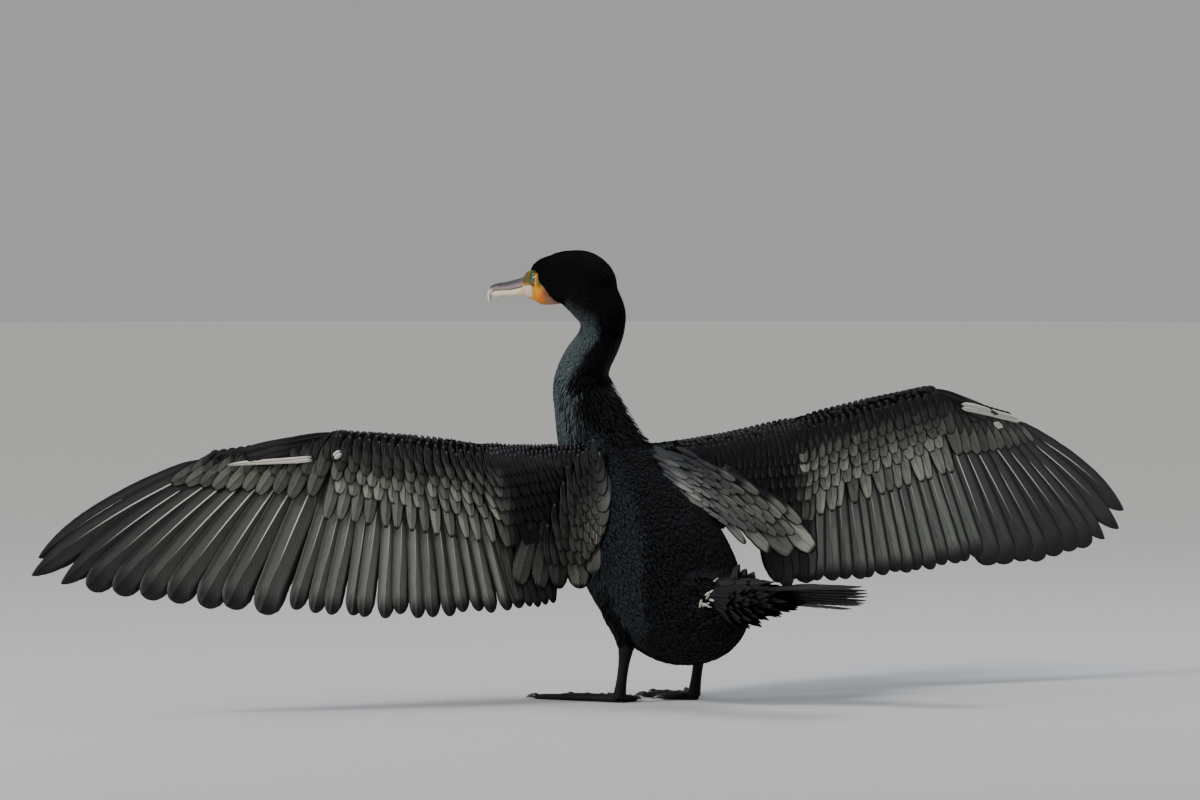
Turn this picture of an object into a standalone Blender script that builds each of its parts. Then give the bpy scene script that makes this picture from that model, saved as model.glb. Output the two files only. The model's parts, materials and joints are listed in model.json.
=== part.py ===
"""A great cormorant stands with its wings held out to dry, as a still model at life size.

The bird faces -Y, its left side is +X and it stands on z = 0.
Lengths in the tables are millimetres and are turned into metres where meshes are made.
"""
import math
from collections import namedtuple

import bmesh
import bpy
from mathutils import Matrix, Vector

MM = 0.001
GAP = 0.3  # left between touching pieces
OBJECT_NAME = "cormorant"

# Body: one line from rump to throat, as (x, y, z, half width, half depth)
BODY_LINE = [
    (0, 134, 104, 5, 4),
    (0, 126, 98, 23, 21),
    (0, 106, 91, 37, 37),
    (0, 80, 92, 50, 54),
    (0, 45, 104, 60, 71),
    (0, 5, 126, 66, 77),
    (0, -37, 156, 65, 74),
    (0, -74, 190, 58, 62),
    (1, -102, 224, 46, 49),
    (2, -120, 252, 39, 41),
    (4, -134, 280, 33.5, 34),
    (7, -141, 303, 28.5, 29),
    (8, -130, 325, 24.5, 25),
    (9, -107, 344, 22, 22.5),
    (9, -95, 360, 21.5, 22),
    (10, -96, 376, 23.5, 25),
    (12, -113, 391, 22, 28),
    (16, -136, 401, 19, 25),
    (19, -155, 404, 15, 20),
]
BODY_SIDES = 18
BODY_STEPS = 2  # rings for each step of the line
NECK_BASE_Z = 256
NECK_MIDDLE_Z = 322
HEAD_BASE_Z = 368

# Head: a line forward from above the neck, as (distance, z, half width, half depth)
HEAD_YAW = math.radians(10)
HEAD_ORIGIN = (10, -93)
HEAD_LINE = [
    (-11, 402, 4, 5),
    (-6, 403, 13, 13.5),
    (6, 406.5, 19.5, 21.5),
    (26, 410.5, 22, 25.5),
    (50, 410.5, 21.5, 26),
    (74, 408, 18, 25.5),
    (91, 406, 14.3, 24),
    (103, 405, 11, 19.5),
    (110, 402.5, 9.2, 15.5),
    (114, 401, 8.2, 12),
]
HEAD_SIDES = 16

# Bare skin of the face: its outline in the plane of (distance, z)
FACE_OUTLINE = [
    (125, 415.4),
    (104, 416.4),
    (95, 417),
    (86, 415.2),
    (82.5, 408),
    (82, 403),
    (75, 400),
    (69, 393),
    (67, 385),
    (67, 374),
    (125, 374),
]
FACE_REACH = 40
GAPE = [(94, 400.9), (94, 400.4), (116, 399.35), (116, 399.85)]  # mouth line behind the bill

EYE_DISTANCE = 91
EYE_Z = 407.8
EYE_RADIUS = 5.8
EYE_OFFSET = 9.1  # from the middle plane of the head to the middle of the eyeball
LID_RADIUS = 5.6
LID_THICKNESS = 1.3

# Bill: stations as (distance, z of the mouth line, half width, height above, depth below)
BILL_LINE = [
    (114.3, 399.6, 7.8, 11.8, 9.4),
    (123, 397.9, 6.6, 10.2, 8.3),
    (137, 396, 5.2, 9.3, 7),
    (150, 395.3, 4.6, 7.8, 6.3),
    (161, 394.8, 4.3, 7.1, 7.4),
    (169.5, 393.4, 3.2, 6.6, 5),
]
HOOK_LINE = [(163, 398.2, 3.4), (170, 396.4, 3.1), (174.2, 392.4, 2.5), (175.3, 387.5, 1.6), (174.6, 382.4, 0.5)]
BILL_SIDES = 6
NOSTRIL_ANGLE = math.radians(60)  # where the closed nostril's groove runs on the upper half
NOSTRIL_RADIUS = 0.7

# Tail
TAIL_ROOT = (-2, 120, 111)
TAIL_SWING = math.radians(22)
TAIL_LENGTH = 168
TAIL_FEATHERS = 14
TAIL_SPREAD = math.radians(30)
TAIL_RISE = 0.04
TAIL_ROLL = math.radians(18)  # the left edge is held higher
TAIL_COVERTS = 5
TAIL_STEP = 1.3  # height from one tail feather to the next
TAIL_WIDTHS = (0.3, 0.8, 1, 0.45)
TAIL_COVERT_WIDTHS = (0.3, 0.9, 0.8, 0.15)

# Legs and feet
LEG_SPACING = 42  # from the middle plane to each ankle
LEG_LINE = [(40, -4, 106, 26), (41, 0, 86, 21), (42, 5, 67, 12), (42, 8, 48, 6.8)]
HEEL_Y = 8
HEEL_Z = 53
SOLE_Y = -6
FOOT_TURN = math.radians(6)
TARSUS_RADIUS = 5.2
TOES = [  # (name, angle outward from straight ahead, length)
    ("hind", -68, 29),
    ("inner", -27, 62),
    ("middle", -3, 86),
    ("outer", 20, 98),
]
WEB_THICKNESS = 1.6
CLAW_LENGTH = 12
FLOOR_BLOCK = ((-200, -250, -30), (200, 100, 0))  # what is cut from under the soles

# Wings: joints on the left side of the bird; the right wing has joints of its own
WINGS = {
    "left": dict(
        side=1,
        joints=[(50, -68, 240), (185, -20, 232), (337, -30, 262), (471, -45, 244)],
        tilt=(16, 14, 12, 14),
        primary_fan=(28, 73, 0.85),
        secondary_fan=(21, -16),
        scapular_fan=(-2, -10),
        thumb_fan=80,
        rise=1.1,
    ),
    "right": dict(
        side=-1,
        joints=[(-50, -68, 240), (-185, -40, 250), (-334, -44, 293), (-458, -91, 262)],
        tilt=(10, 6, 4, 4),
        primary_fan=(25, 77, 1.0),
        secondary_fan=(22, -12),
        scapular_fan=(26, -6),
        thumb_fan=72,
        rise=1.5,
    ),
}
# Flesh of the wing: (place along the joints, ahead of the bone, behind it, half thickness)
WING_FLESH = [
    (0.0, 10, 30, 13),
    (0.5, 16, 32, 12),
    (1.0, 25, 24, 11),
    (1.5, 18, 21, 9.5),
    (2.0, 8, 18, 8),
    (2.5, 6, 15, 5.5),
    (3.0, 4, 10, 3),
]
PRIMARIES = 10
SECONDARIES = 15
SCAPULARS = 6
JOINT_GAP = GAP / 150  # as a share of the length of one segment
VANE_THICKNESS = 0.6
SHAFT_RISE = 0.3
FLIGHT_STATIONS = (0.0, 0.2, 0.55, 0.9, 1.0)
FLIGHT_WIDTHS = (0.2, 0.7, 1.0, 0.92, 0.4)
QUILL_STATIONS = (0.0, 0.3, 0.9, 1.0)
QUILL_WIDTHS = (0.2, 0.85, 1.0, 0.42)
COVERT_STATIONS = (0.0, 0.4, 0.8, 1.0)
COVERT_WIDTHS = (0.25, 0.85, 1.0, 0.4)
VANE_FORMS = {
    "long": (FLIGHT_STATIONS, FLIGHT_WIDTHS),
    "quill": (QUILL_STATIONS, QUILL_WIDTHS),
    "flat": (COVERT_STATIONS, COVERT_WIDTHS),
}

# Tiers of feathers: distance of the root behind the bone, height above the middle of the flesh
# at root and tip, width, distance to the next feather at root and tip, rise of each feather
# over the next one outward, and the form of the feather
Tier = namedtuple("Tier", "back root_height tip_height width root_pitch tip_pitch step form")
TIERS = {
    "primaries": Tier(4, 0, -1, 27, 13, 15, 1.45, "long"),
    "primary_coverts": Tier(2, 3.8, 7.6, 15, 13, 15, 1.3, "flat"),
    "primary_under_coverts": Tier(2, -3.8, -7.6, 24, 26, 28, 2.8, "flat"),
    "alula": Tier(-2, 5.6, 11, 9, 5, 6, 1.3, "flat"),
    "secondaries": Tier(4, 0, -1, 22, 10.5, 15, 1.45, "quill"),
    "greater_coverts": Tier(4, 4.2, 6.5, 18, 10.5, 14, 1.7, "flat"),
    "median_coverts": Tier(0, 7, 11.5, 26, 19, 22, 2, "flat"),
    "under_coverts": Tier(4, -4.2, -6.5, 26, 19, 22, 2.8, "flat"),
    "tertials": Tier(6, 3.5, 4.5, 26, 18, 21, 2.7, "quill"),
    "scapulars": Tier(2, 8, 10, 26, 18, 21, 2.7, "flat"),
    "upper_scapulars": Tier(-6, 11, 16, 26, 18, 21, 2.7, "flat"),
}

COLOURS = {
    "black_plumage": ((0.012, 0.014, 0.018), 0.45),
    "bronze_plumage": ((0.045, 0.045, 0.040), 0.5),
    "bare_skin": ((0.80, 0.42, 0.04), 0.5),
    "horn": ((0.35, 0.32, 0.30), 0.4),
    "eye": ((0.02, 0.18, 0.12), 0.1),
    "black_skin": ((0.015, 0.014, 0.013), 0.5),
    "claw": ((0.02, 0.018, 0.016), 0.35),
}


def clear_scene():
    for item in list(bpy.data.objects):
        bpy.data.objects.remove(item, do_unlink=True)
    for collection in list(bpy.data.collections):
        bpy.data.collections.remove(collection)


def make_collection(name):
    collection = bpy.data.collections.new(name)
    bpy.context.scene.collection.children.link(collection)
    return collection


def make_material(name, slot):
    colour, roughness = COLOURS[slot]
    material = bpy.data.materials.new(name)
    material.use_nodes = True
    shader = material.node_tree.nodes["Principled BSDF"]
    shader.inputs["Base Color"].default_value = (*colour, 1)
    shader.inputs["Roughness"].default_value = roughness
    shader.inputs["Metallic"].default_value = 0
    material.diffuse_color = (*colour, 1)
    return material


def smooth_line(controls, steps):
    """Return stations on a curve through the controls, with the ends kept."""
    result = []
    last = len(controls) - 1
    for i in range(last):
        before = controls[max(i - 1, 0)]
        start = controls[i]
        end = controls[i + 1]
        after = controls[min(i + 2, last)]
        for k in range(steps):
            t = k / steps
            row = []
            for p0, p1, p2, p3 in zip(before, start, end, after):
                slope = (p2 - p0) / 2
                next_slope = (p3 - p1) / 2
                rise = p2 - p1
                cubic = slope + next_slope - 2 * rise
                square = 3 * rise - 2 * slope - next_slope
                row.append(p1 + slope * t + square * t * t + cubic * t ** 3)
            result.append(tuple(row))
    result.append(tuple(controls[last]))
    return result


def blend(stations, place):
    """Read a table of (place, values...) at a place between two of its rows."""
    for low, high in zip(stations, stations[1:]):
        if place <= high[0]:
            break
    t = (place - low[0]) / (high[0] - low[0])
    return [a + (b - a) * t for a, b in zip(low[1:], high[1:])]


def loft(rings):
    """Return a closed mesh over rings of equal count, in millimetres."""
    mesh = bmesh.new()
    rows = []
    for ring in rings:
        rows.append([mesh.verts.new(Vector(p) * MM) for p in ring])
    count = len(rows[0])
    for low, high in zip(rows, rows[1:]):
        for i in range(count):
            j = (i + 1) % count
            mesh.faces.new((low[i], low[j], high[j], high[i]))
    mesh.faces.new(rows[0])
    mesh.faces.new(rows[-1])
    return finish_mesh(mesh)


def finish_mesh(mesh):
    bmesh.ops.triangulate(mesh, faces=mesh.faces[:])
    bmesh.ops.recalc_face_normals(mesh, faces=mesh.faces[:])
    if mesh.calc_volume(signed=True) < 0:
        bmesh.ops.reverse_faces(mesh, faces=mesh.faces[:])
    data = bpy.data.meshes.new("shape")
    mesh.to_mesh(data)
    mesh.free()
    return data


def ellipse(centre, across, up, half_width, half_depth, sides):
    points = []
    for i in range(sides):
        angle = 2 * math.pi * (i + 0.5) / sides
        offset = across * (half_width * math.cos(angle)) + up * (half_depth * math.sin(angle))
        points.append(centre + offset)
    return points


def tube(centres, radii, sides, flatten=1.0):
    """Loft round sections along a line of centres."""
    rings = []
    last = len(centres) - 1
    for i, (centre, radius) in enumerate(zip(centres, radii)):
        along = (centres[min(i + 1, last)] - centres[max(i - 1, 0)]).normalized()
        reference = Vector((0, 0, 1)) if abs(along.z) < 0.8 else Vector((0, 1, 0))
        across = along.cross(reference).normalized()
        up = across.cross(along)
        rings.append(ellipse(centre, across, up, radius, radius * flatten, sides))
    return loft(rings)


def put(data, name, collection):
    item = bpy.data.objects.new(name, data)
    collection.objects.link(item)
    return item


def evaluated_mesh(item):
    graph = bpy.context.evaluated_depsgraph_get()
    graph.update()
    return bpy.data.meshes.new_from_object(item.evaluated_get(graph))


def largest_surface(data):
    """Keep the closed surface of the greatest volume."""
    mesh = bmesh.new()
    mesh.from_mesh(data)
    bmesh.ops.remove_doubles(mesh, verts=mesh.verts, dist=1e-6)
    bmesh.ops.dissolve_degenerate(mesh, dist=1e-6, edges=mesh.edges[:])
    bmesh.ops.holes_fill(mesh, edges=[e for e in mesh.edges if e.is_boundary], sides=0)
    bmesh.ops.triangulate(mesh, faces=mesh.faces[:])
    unseen = set(mesh.faces)
    islands = []
    while unseen:
        stack = [unseen.pop()]
        island = list(stack)
        while stack:
            face = stack.pop()
            for edge in face.edges:
                for other in edge.link_faces:
                    if other in unseen:
                        unseen.remove(other)
                        stack.append(other)
                        island.append(other)
        islands.append(island)
    best = max(islands, key=surface_volume)
    loose = [f for island in islands if island is not best for f in island]
    bmesh.ops.delete(mesh, geom=loose, context="FACES")
    mesh.to_mesh(data)
    mesh.free()
    return data


def surface_volume(faces):
    total = 0.0
    for face in faces:
        a, b, c = (v.co for v in face.verts[:3])
        total += a.dot(b.cross(c)) / 6
    return total


def combine(base, others, operation="UNION", solver="EXACT"):
    """Join meshes to a base mesh, or cut them from it, with one Boolean on a collection."""
    helpers = make_collection("cutters")
    target = put(base, "target", helpers)
    pieces = make_collection("pieces")
    for data in others:
        helper = put(data, "piece", pieces)
        helper.hide_render = True
        helper.display_type = "WIRE"
    modifier = target.modifiers.new("combine", "BOOLEAN")
    modifier.operation = operation
    modifier.operand_type = "COLLECTION"
    modifier.collection = pieces
    modifier.solver = solver
    result = evaluated_mesh(target)
    for item in list(pieces.objects) + [target]:
        bpy.data.objects.remove(item, do_unlink=True)
    bpy.data.collections.remove(pieces)
    bpy.data.collections.remove(helpers)
    return largest_surface(result)


def slab(data, low=None, high=None):
    """Keep the part of a mesh between two heights."""
    mesh = bmesh.new()
    mesh.from_mesh(data)
    for height, direction in ((low, -1), (high, 1)):
        if height is None:
            continue
        geometry = mesh.verts[:] + mesh.edges[:] + mesh.faces[:]
        cut = bmesh.ops.bisect_plane(
            mesh, geom=geometry, dist=1e-7, plane_co=(0, 0, height * MM),
            plane_no=(0, 0, direction), clear_outer=True)
        rim = [e for e in cut["geom_cut"] if isinstance(e, bmesh.types.BMEdge)]
        bmesh.ops.triangle_fill(mesh, edges=rim, use_beauty=True)
    return finish_mesh(mesh)


def body_mesh(grow=0.0):
    rings = []
    line = smooth_line(BODY_LINE, BODY_STEPS)
    last = len(line) - 1
    for i, (x, y, z, width, depth) in enumerate(line):
        ahead = Vector(line[min(i + 1, last)][:3])
        behind = Vector(line[max(i - 1, 0)][:3])
        along = (ahead - behind).normalized()
        centre = Vector((x, y, z))
        if i in (0, last):
            centre += along * (grow if i else -grow)
        across = Vector((1, 0, 0))
        across = (across - along * across.dot(along)).normalized()
        up = across.cross(along)
        rings.append(ellipse(centre, across, up, width + grow, depth + grow, BODY_SIDES))
    return loft(rings)


def head_point(distance, offset, z):
    """Place a point by its distance along the head and its offset to the bird's left."""
    x, y = HEAD_ORIGIN
    sine, cosine = math.sin(HEAD_YAW), math.cos(HEAD_YAW)
    return Vector((x + distance * sine + offset * cosine, y - distance * cosine + offset * sine, z))


def head_mesh():
    rings = []
    across = head_point(0, 1, 0) - head_point(0, 0, 0)
    for distance, z, width, depth in HEAD_LINE:
        centre = head_point(distance, 0, z)
        rings.append(ellipse(centre, across, Vector((0, 0, 1)), width, depth, HEAD_SIDES))
    return loft(rings)


def face_prism(outline, grow):
    """Extrude an outline in the plane of (distance, z) across the head."""
    count = len(outline)
    rings = [[], []]
    for i in range(count):
        before = Vector(outline[i - 1])
        here = Vector(outline[i])
        after = Vector(outline[(i + 1) % count])
        first = (here - before).normalized()
        second = (after - here).normalized()
        corner = Vector((-first.y - second.y, first.x + second.x))
        corner *= -grow / (1 + first.dot(second))
        point = here + corner
        for ring, offset in zip(rings, (-FACE_REACH, FACE_REACH)):
            ring.append(head_point(point.x, offset, point.y))
    return loft(rings)


def ball(centre, radius, segments=12, rings=7):
    mesh = bmesh.new()
    place = Matrix.Translation(centre * MM)
    bmesh.ops.create_uvsphere(
        mesh, u_segments=segments, v_segments=rings, radius=radius * MM, matrix=place)
    return finish_mesh(mesh)


def box(corners):
    """Make a box between two corners."""
    low, high = Vector(corners[0]), Vector(corners[1])
    mesh = bmesh.new()
    scale = Matrix.Diagonal(((high - low) * MM).to_4d())
    bmesh.ops.create_cube(mesh, size=1, matrix=Matrix.Translation((low + high) / 2 * MM) @ scale)
    return finish_mesh(mesh)


def lid_ring(centre, outward):
    """Make the rim of bare skin round an eye."""
    turn = outward.to_track_quat("Z", "Y").to_matrix()
    rings = []
    for i in range(10):
        angle = 2 * math.pi * i / 10
        radial = turn @ Vector((math.cos(angle), math.sin(angle), 0))
        middle = centre + radial * LID_RADIUS
        ring = []
        for k in range(4):
            part = 2 * math.pi * k / 4
            ring.append(middle + radial * (LID_THICKNESS * math.cos(part))
                        + outward * (LID_THICKNESS * math.sin(part)))
        rings.append(ring)
    return closed_loop_loft(rings)


def closed_loop_loft(rings):
    mesh = bmesh.new()
    rows = [[mesh.verts.new(p * MM) for p in ring] for ring in rings]
    count = len(rows[0])
    for low, high in zip(rows, rows[1:] + rows[:1]):
        for i in range(count):
            j = (i + 1) % count
            mesh.faces.new((low[i], low[j], high[j], high[i]))
    return finish_mesh(mesh)


def bill_half(upper):
    """Loft one half of the bill; the upper half has the hook and the nostril grooves."""
    rings = []
    across = head_point(0, 1, 0) - head_point(0, 0, 0)
    stations = [(d, z, w, up if upper else down) for d, z, w, up, down in BILL_LINE]
    sign = 1 if upper else -1
    for distance, z, width, height in stations:
        mouth = z + sign * GAP / 2
        ring = []
        for i in range(BILL_SIDES + 1):
            angle = math.pi * i / BILL_SIDES
            rise = height * math.sin(angle) ** 0.8
            ring.append(head_point(distance, 0, mouth + sign * rise)
                        + across * (width * math.cos(angle)))
        rings.append(ring)
    if not upper:
        return loft(rings)
    centres = [head_point(distance, 0, z) for distance, z, radius in HOOK_LINE]
    hook = tube(centres, [row[2] for row in HOOK_LINE], 8)
    grooves = []
    for side in (1, -1):
        centres = []
        for distance, z, width, height in stations[:4]:
            rise = height * math.sin(NOSTRIL_ANGLE) ** 0.8
            point = head_point(distance, 0, z + rise)
            centres.append(point + across * (side * width * math.cos(NOSTRIL_ANGLE)))
        grooves.append(tube(centres, [NOSTRIL_RADIUS] * 4, 4))
    return combine(combine(loft(rings), [hook]), grooves, "DIFFERENCE", "MANIFOLD")


def vane(centres, acrosses, normals, widths, flat):
    """Make one feather; widths are (toward the root end of the wing, toward its tip) pairs."""
    mesh = bmesh.new()
    rows = []
    half = VANE_THICKNESS / 2
    for centre, across, up, (inner, outer) in zip(centres, acrosses, normals, widths):
        low = centre - across * inner
        high = centre + across * outer
        top = [low + up * half, high + up * half]
        bottom = [high - up * half, low - up * half]
        if not flat:
            top.insert(1, centre + up * (half + SHAFT_RISE))
            bottom.insert(1, centre - up * (half + SHAFT_RISE / 2))
        rows.append([mesh.verts.new(p * MM) for p in top + bottom])
    count = len(rows[0])
    side = count // 2
    for low, high in zip(rows, rows[1:]):
        for i in range(count):
            j = (i + 1) % count
            if i < side:
                mesh.faces.new((low[i], low[j], high[j]))
                mesh.faces.new((low[i], high[j], high[i]))
            else:
                mesh.faces.new((low[i], low[j], high[i]))
                mesh.faces.new((low[j], high[j], high[i]))
    for row in (rows[0], rows[-1]):
        if flat:
            mesh.faces.new((row[0], row[1], row[2]))
            mesh.faces.new((row[0], row[2], row[3]))
        else:
            mesh.faces.new((row[0], row[1], row[4]))
            mesh.faces.new((row[0], row[4], row[5]))
            mesh.faces.new((row[1], row[2], row[3]))
            mesh.faces.new((row[1], row[3], row[4]))
    return finish_mesh(mesh)


def wing_frame(wing, place):
    """Return the bone point and the outward, trailing and dorsal directions at a place."""
    joints = [Vector(p) for p in wing["joints"]]
    segment = min(max(int(place), 0), 2)
    part = place - segment
    point = joints[segment].lerp(joints[segment + 1], part)
    directions = [(b - a).normalized() for a, b in zip(joints, joints[1:])]
    tangents = [directions[0], (directions[0] + directions[1]).normalized(),
                (directions[1] + directions[2]).normalized(), directions[2]]
    outward = tangents[segment].lerp(tangents[segment + 1], min(max(part, 0), 1)).normalized()
    tilts = wing["tilt"]
    tilt = math.radians(tilts[segment] + (tilts[segment + 1] - tilts[segment]) * part)
    down = Vector((0, 0, -1))
    down = (down - outward * down.dot(outward)).normalized()
    dorsal = outward.cross(down) * wing["side"]
    trailing = down * math.cos(tilt) + dorsal * math.sin(tilt)
    dorsal = dorsal * math.cos(tilt) - down * math.sin(tilt)
    return point, outward, trailing, dorsal


def flesh_mesh(wing, start, end, rings_count):
    """Loft the flesh of a wing between two places; its rings lean as the feathers there do."""
    rings = []
    elbow = wing["secondary_fan"][1]
    wrist = (wing["secondary_fan"][0] + wing["primary_fan"][0]) / 2
    for k in range(rings_count + 1):
        place = start + (end - start) * k / rings_count
        point, outward, trailing, dorsal = wing_frame(wing, place)
        lean = blend([(0, 0), (1, elbow), (2, wrist), (3, wrist)], min(max(place, 0), 3))[0]
        trailing = trailing + outward * math.tan(math.radians(lean))
        ahead, behind, thick = blend(WING_FLESH, min(max(place, 0), 3))
        profile = []
        for angle in (90, 130, 180, 230, 270):
            turn = math.radians(angle)
            profile.append((ahead * math.cos(turn), thick * math.sin(turn)))
        for reach, share in ((0.5, -0.72), (1, -0.14), (1, 0.14), (0.5, 0.72)):
            profile.append((behind * reach, thick * share))
        rings.append([point + trailing * c + dorsal * h for c, h in profile])
    return loft(rings)


def wing_vane(wing, place, tier, fan, length, bow=0, lift=0):
    """Make one feather of a wing.

    fan is the angle in degrees from the trailing direction towards the wing tip, bow is how
    far the middle of the feather curves out towards the leading edge, and lift raises its tip.
    """
    point, outward, trailing, dorsal = wing_frame(wing, place)
    angle = math.radians(fan)
    along = trailing * math.cos(angle) + outward * math.sin(angle)
    across = outward * math.cos(angle) - trailing * math.sin(angle)
    root_pitch = max(tier.root_pitch * math.cos(angle), 4)
    stations, shares = VANE_FORMS[tier.form]
    centres, acrosses, normals, widths = [], [], [], []
    for t, share in zip(stations, shares):
        pitch = root_pitch + (tier.tip_pitch - root_pitch) * t
        roll = math.asin(min(tier.step * wing["rise"] / pitch, 0.35))
        height = tier.root_height + (tier.tip_height + lift - tier.root_height) * t
        centre = point + trailing * tier.back + along * (length * t) + dorsal * height
        centres.append(centre + across * (4 * bow * t * (1 - t)))
        acrosses.append(across * math.cos(roll) + dorsal * math.sin(roll))
        normals.append(dorsal * math.cos(roll) - across * math.sin(roll))
        width = min(tier.width, pitch * 1.75) * share
        widths.append((width * 0.6, width * 0.4))
    return vane(centres, acrosses, normals, widths, tier.form == "flat")


def fan_angles(first, last, power, count):
    return [first + (last - first) * (i / (count - 1)) ** power for i in range(count)]


def primary_length(i):
    """Return the length of a primary, counted from the wrist; the ninth is the longest."""
    if i == PRIMARIES - 1:
        return 202
    return 184 + 46 * (i / (PRIMARIES - 2)) ** 1.3


def secondary_length(i):
    """Return the length of a secondary, counted from the wrist."""
    return 173 - 33 * i / (SECONDARIES - 1)


def hand_mesh(wing):
    core = flesh_mesh(wing, 2 + JOINT_GAP, 3, 4)
    pieces = []
    angles = fan_angles(*wing["primary_fan"], PRIMARIES)
    for i, angle in enumerate(angles):
        place = 2.06 + 0.9 * i / (PRIMARIES - 1)
        bow = 2 + 0.9 * i
        pieces.append(wing_vane(wing, place, TIERS["primaries"], angle, primary_length(i), bow))
        if i < PRIMARIES - 1:
            length = 66 - 1.2 * i
            pieces.append(wing_vane(wing, place, TIERS["primary_coverts"], angle, length))
        if i in (0, 2, 4, 6):
            pieces.append(wing_vane(wing, place, TIERS["primary_under_coverts"], angle, 46))
    for i in range(2):
        tier = TIERS["alula"]._replace(back=5 * i - 2)
        fan = wing["thumb_fan"] - 7 * i
        pieces.append(wing_vane(wing, 2.05 + 0.06 * i, tier, fan, 98 - 20 * i))
    return combine(core, pieces)


def forearm_mesh(wing):
    core = flesh_mesh(wing, 1 + JOINT_GAP, 2 - JOINT_GAP, 4)
    pieces = []
    angles = fan_angles(*wing["secondary_fan"], 1.0, SECONDARIES)
    for i, angle in enumerate(angles):
        place = 1.96 - 0.92 * i / (SECONDARIES - 1)
        pieces.append(wing_vane(wing, place, TIERS["secondaries"], angle, secondary_length(i)))
        if i < SECONDARIES - 1:
            pieces.append(wing_vane(wing, place, TIERS["greater_coverts"], angle, 70))
        if i % 2 == 0 and i < SECONDARIES - 1:
            pieces.append(wing_vane(wing, place, TIERS["median_coverts"], angle, 46))
            pieces.append(wing_vane(wing, place, TIERS["under_coverts"], angle, 52))
    return combine(core, pieces)


def arm_mesh(wing, body_cut):
    core = flesh_mesh(wing, -0.35, 1 - JOINT_GAP, 5)
    pieces = []
    for i, angle in enumerate(fan_angles(*wing["scapular_fan"], 1.0, SCAPULARS)):
        place = 0.2 + 0.7 * i / (SCAPULARS - 1)
        lift = 2.4 * (SCAPULARS - 1 - i)
        if i > 1:
            pieces.append(wing_vane(wing, place, TIERS["tertials"], angle, 128, 0, lift))
        pieces.append(wing_vane(wing, place, TIERS["scapulars"], angle, 88, 0, lift))
        pieces.append(wing_vane(wing, place, TIERS["upper_scapulars"], angle, 56, 0, lift))
    joined = combine(core, pieces)
    return combine(joined, [body_cut.copy()], "DIFFERENCE")


def tail_frame():
    """Return the backward, left and up directions of the tail."""
    backward = Vector((-math.sin(TAIL_SWING), math.cos(TAIL_SWING), TAIL_RISE)).normalized()
    level = Vector((math.cos(TAIL_SWING), math.sin(TAIL_SWING), 0))
    up = level.cross(backward)
    if up.z < 0:
        up = -up
    left = level * math.cos(TAIL_ROLL) + up * math.sin(TAIL_ROLL)
    up = up * math.cos(TAIL_ROLL) - level * math.sin(TAIL_ROLL)
    return backward, left, up


def tail_vane(start, along, side, up, length, half_width, stations, shares, flat):
    centres, acrosses, normals, widths = [], [], [], []
    for t, share in zip(stations, shares):
        centres.append(start + along * (length * t))
        acrosses.append(side)
        normals.append(up)
        widths.append((half_width * share, half_width * share))
    return vane(centres, acrosses, normals, widths, flat)


def tail_mesh(body_cut):
    """Make the tail: a short root of flesh with its quills and the coverts over and under it."""
    root = Vector(TAIL_ROOT)
    backward, left, up = tail_frame()
    rings = []
    for distance, width, depth in ((-25, 20, 14), (0, 19, 12), (22, 15, 8), (36, 12, 4.5)):
        rings.append(ellipse(root + backward * distance, left, up, width, depth, 12))
    core = loft(rings)
    pieces = []
    half = (TAIL_FEATHERS - 1) / 2
    for i in range(TAIL_FEATHERS):
        rank = (i - half) / half
        inward = 1 - abs(rank)
        angle = rank * TAIL_SPREAD / 2
        along = backward * math.cos(angle) + left * math.sin(angle)
        side = left * math.cos(angle) - backward * math.sin(angle)
        level = TAIL_STEP * (half - abs(i - half) - 3) + (TAIL_STEP if i == TAIL_FEATHERS // 2 else 0)
        start = root + backward * 14 + left * (rank * 11) + up * level
        length = TAIL_LENGTH * (0.76 + 0.24 * inward ** 0.6) - 14
        pieces.append(tail_vane(start, along, side, up, length, 7, QUILL_STATIONS, TAIL_WIDTHS, False))
    for i in range(TAIL_COVERTS):
        rank = 2 * i / (TAIL_COVERTS - 1) - 1
        angle = rank * 0.22
        order = 4 * abs(rank) - (1 if rank > 0 else 0)
        for above in (1, -1):
            along = backward * math.cos(angle) + left * math.sin(angle)
            side = left * math.cos(angle) - backward * math.sin(angle)
            if above > 0:
                level = 9.5 - 1.1 * order
            else:
                along = (along - up * 0.3).normalized()
                level = -6 - 1.1 * order
            start = root + backward * 2 + left * (rank * 9) + up * level
            normal = side.cross(along) * -1
            length = 66 - 10 * abs(rank)
            pieces.append(tail_vane(start, along, side, normal, length, 8, COVERT_STATIONS,
                                    TAIL_COVERT_WIDTHS, True))
    joined = combine(core, pieces)
    return combine(joined, [body_cut.copy()], "DIFFERENCE")


def leg_mesh(side, body_cut):
    """Make the feathered shank, from the flank down to the heel."""
    centres, radii = [], []
    for x, y, z, radius in LEG_LINE:
        centres.append(Vector((side * x, y, z)))
        radii.append(radius)
    shank = slab(tube(centres, radii, 14), low=HEEL_Z)
    return combine(shank, [body_cut.copy()], "DIFFERENCE")


def toe_direction(side, angle):
    turn = math.radians(angle) + FOOT_TURN
    return Vector((side * math.sin(turn), -math.cos(turn), 0))


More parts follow.
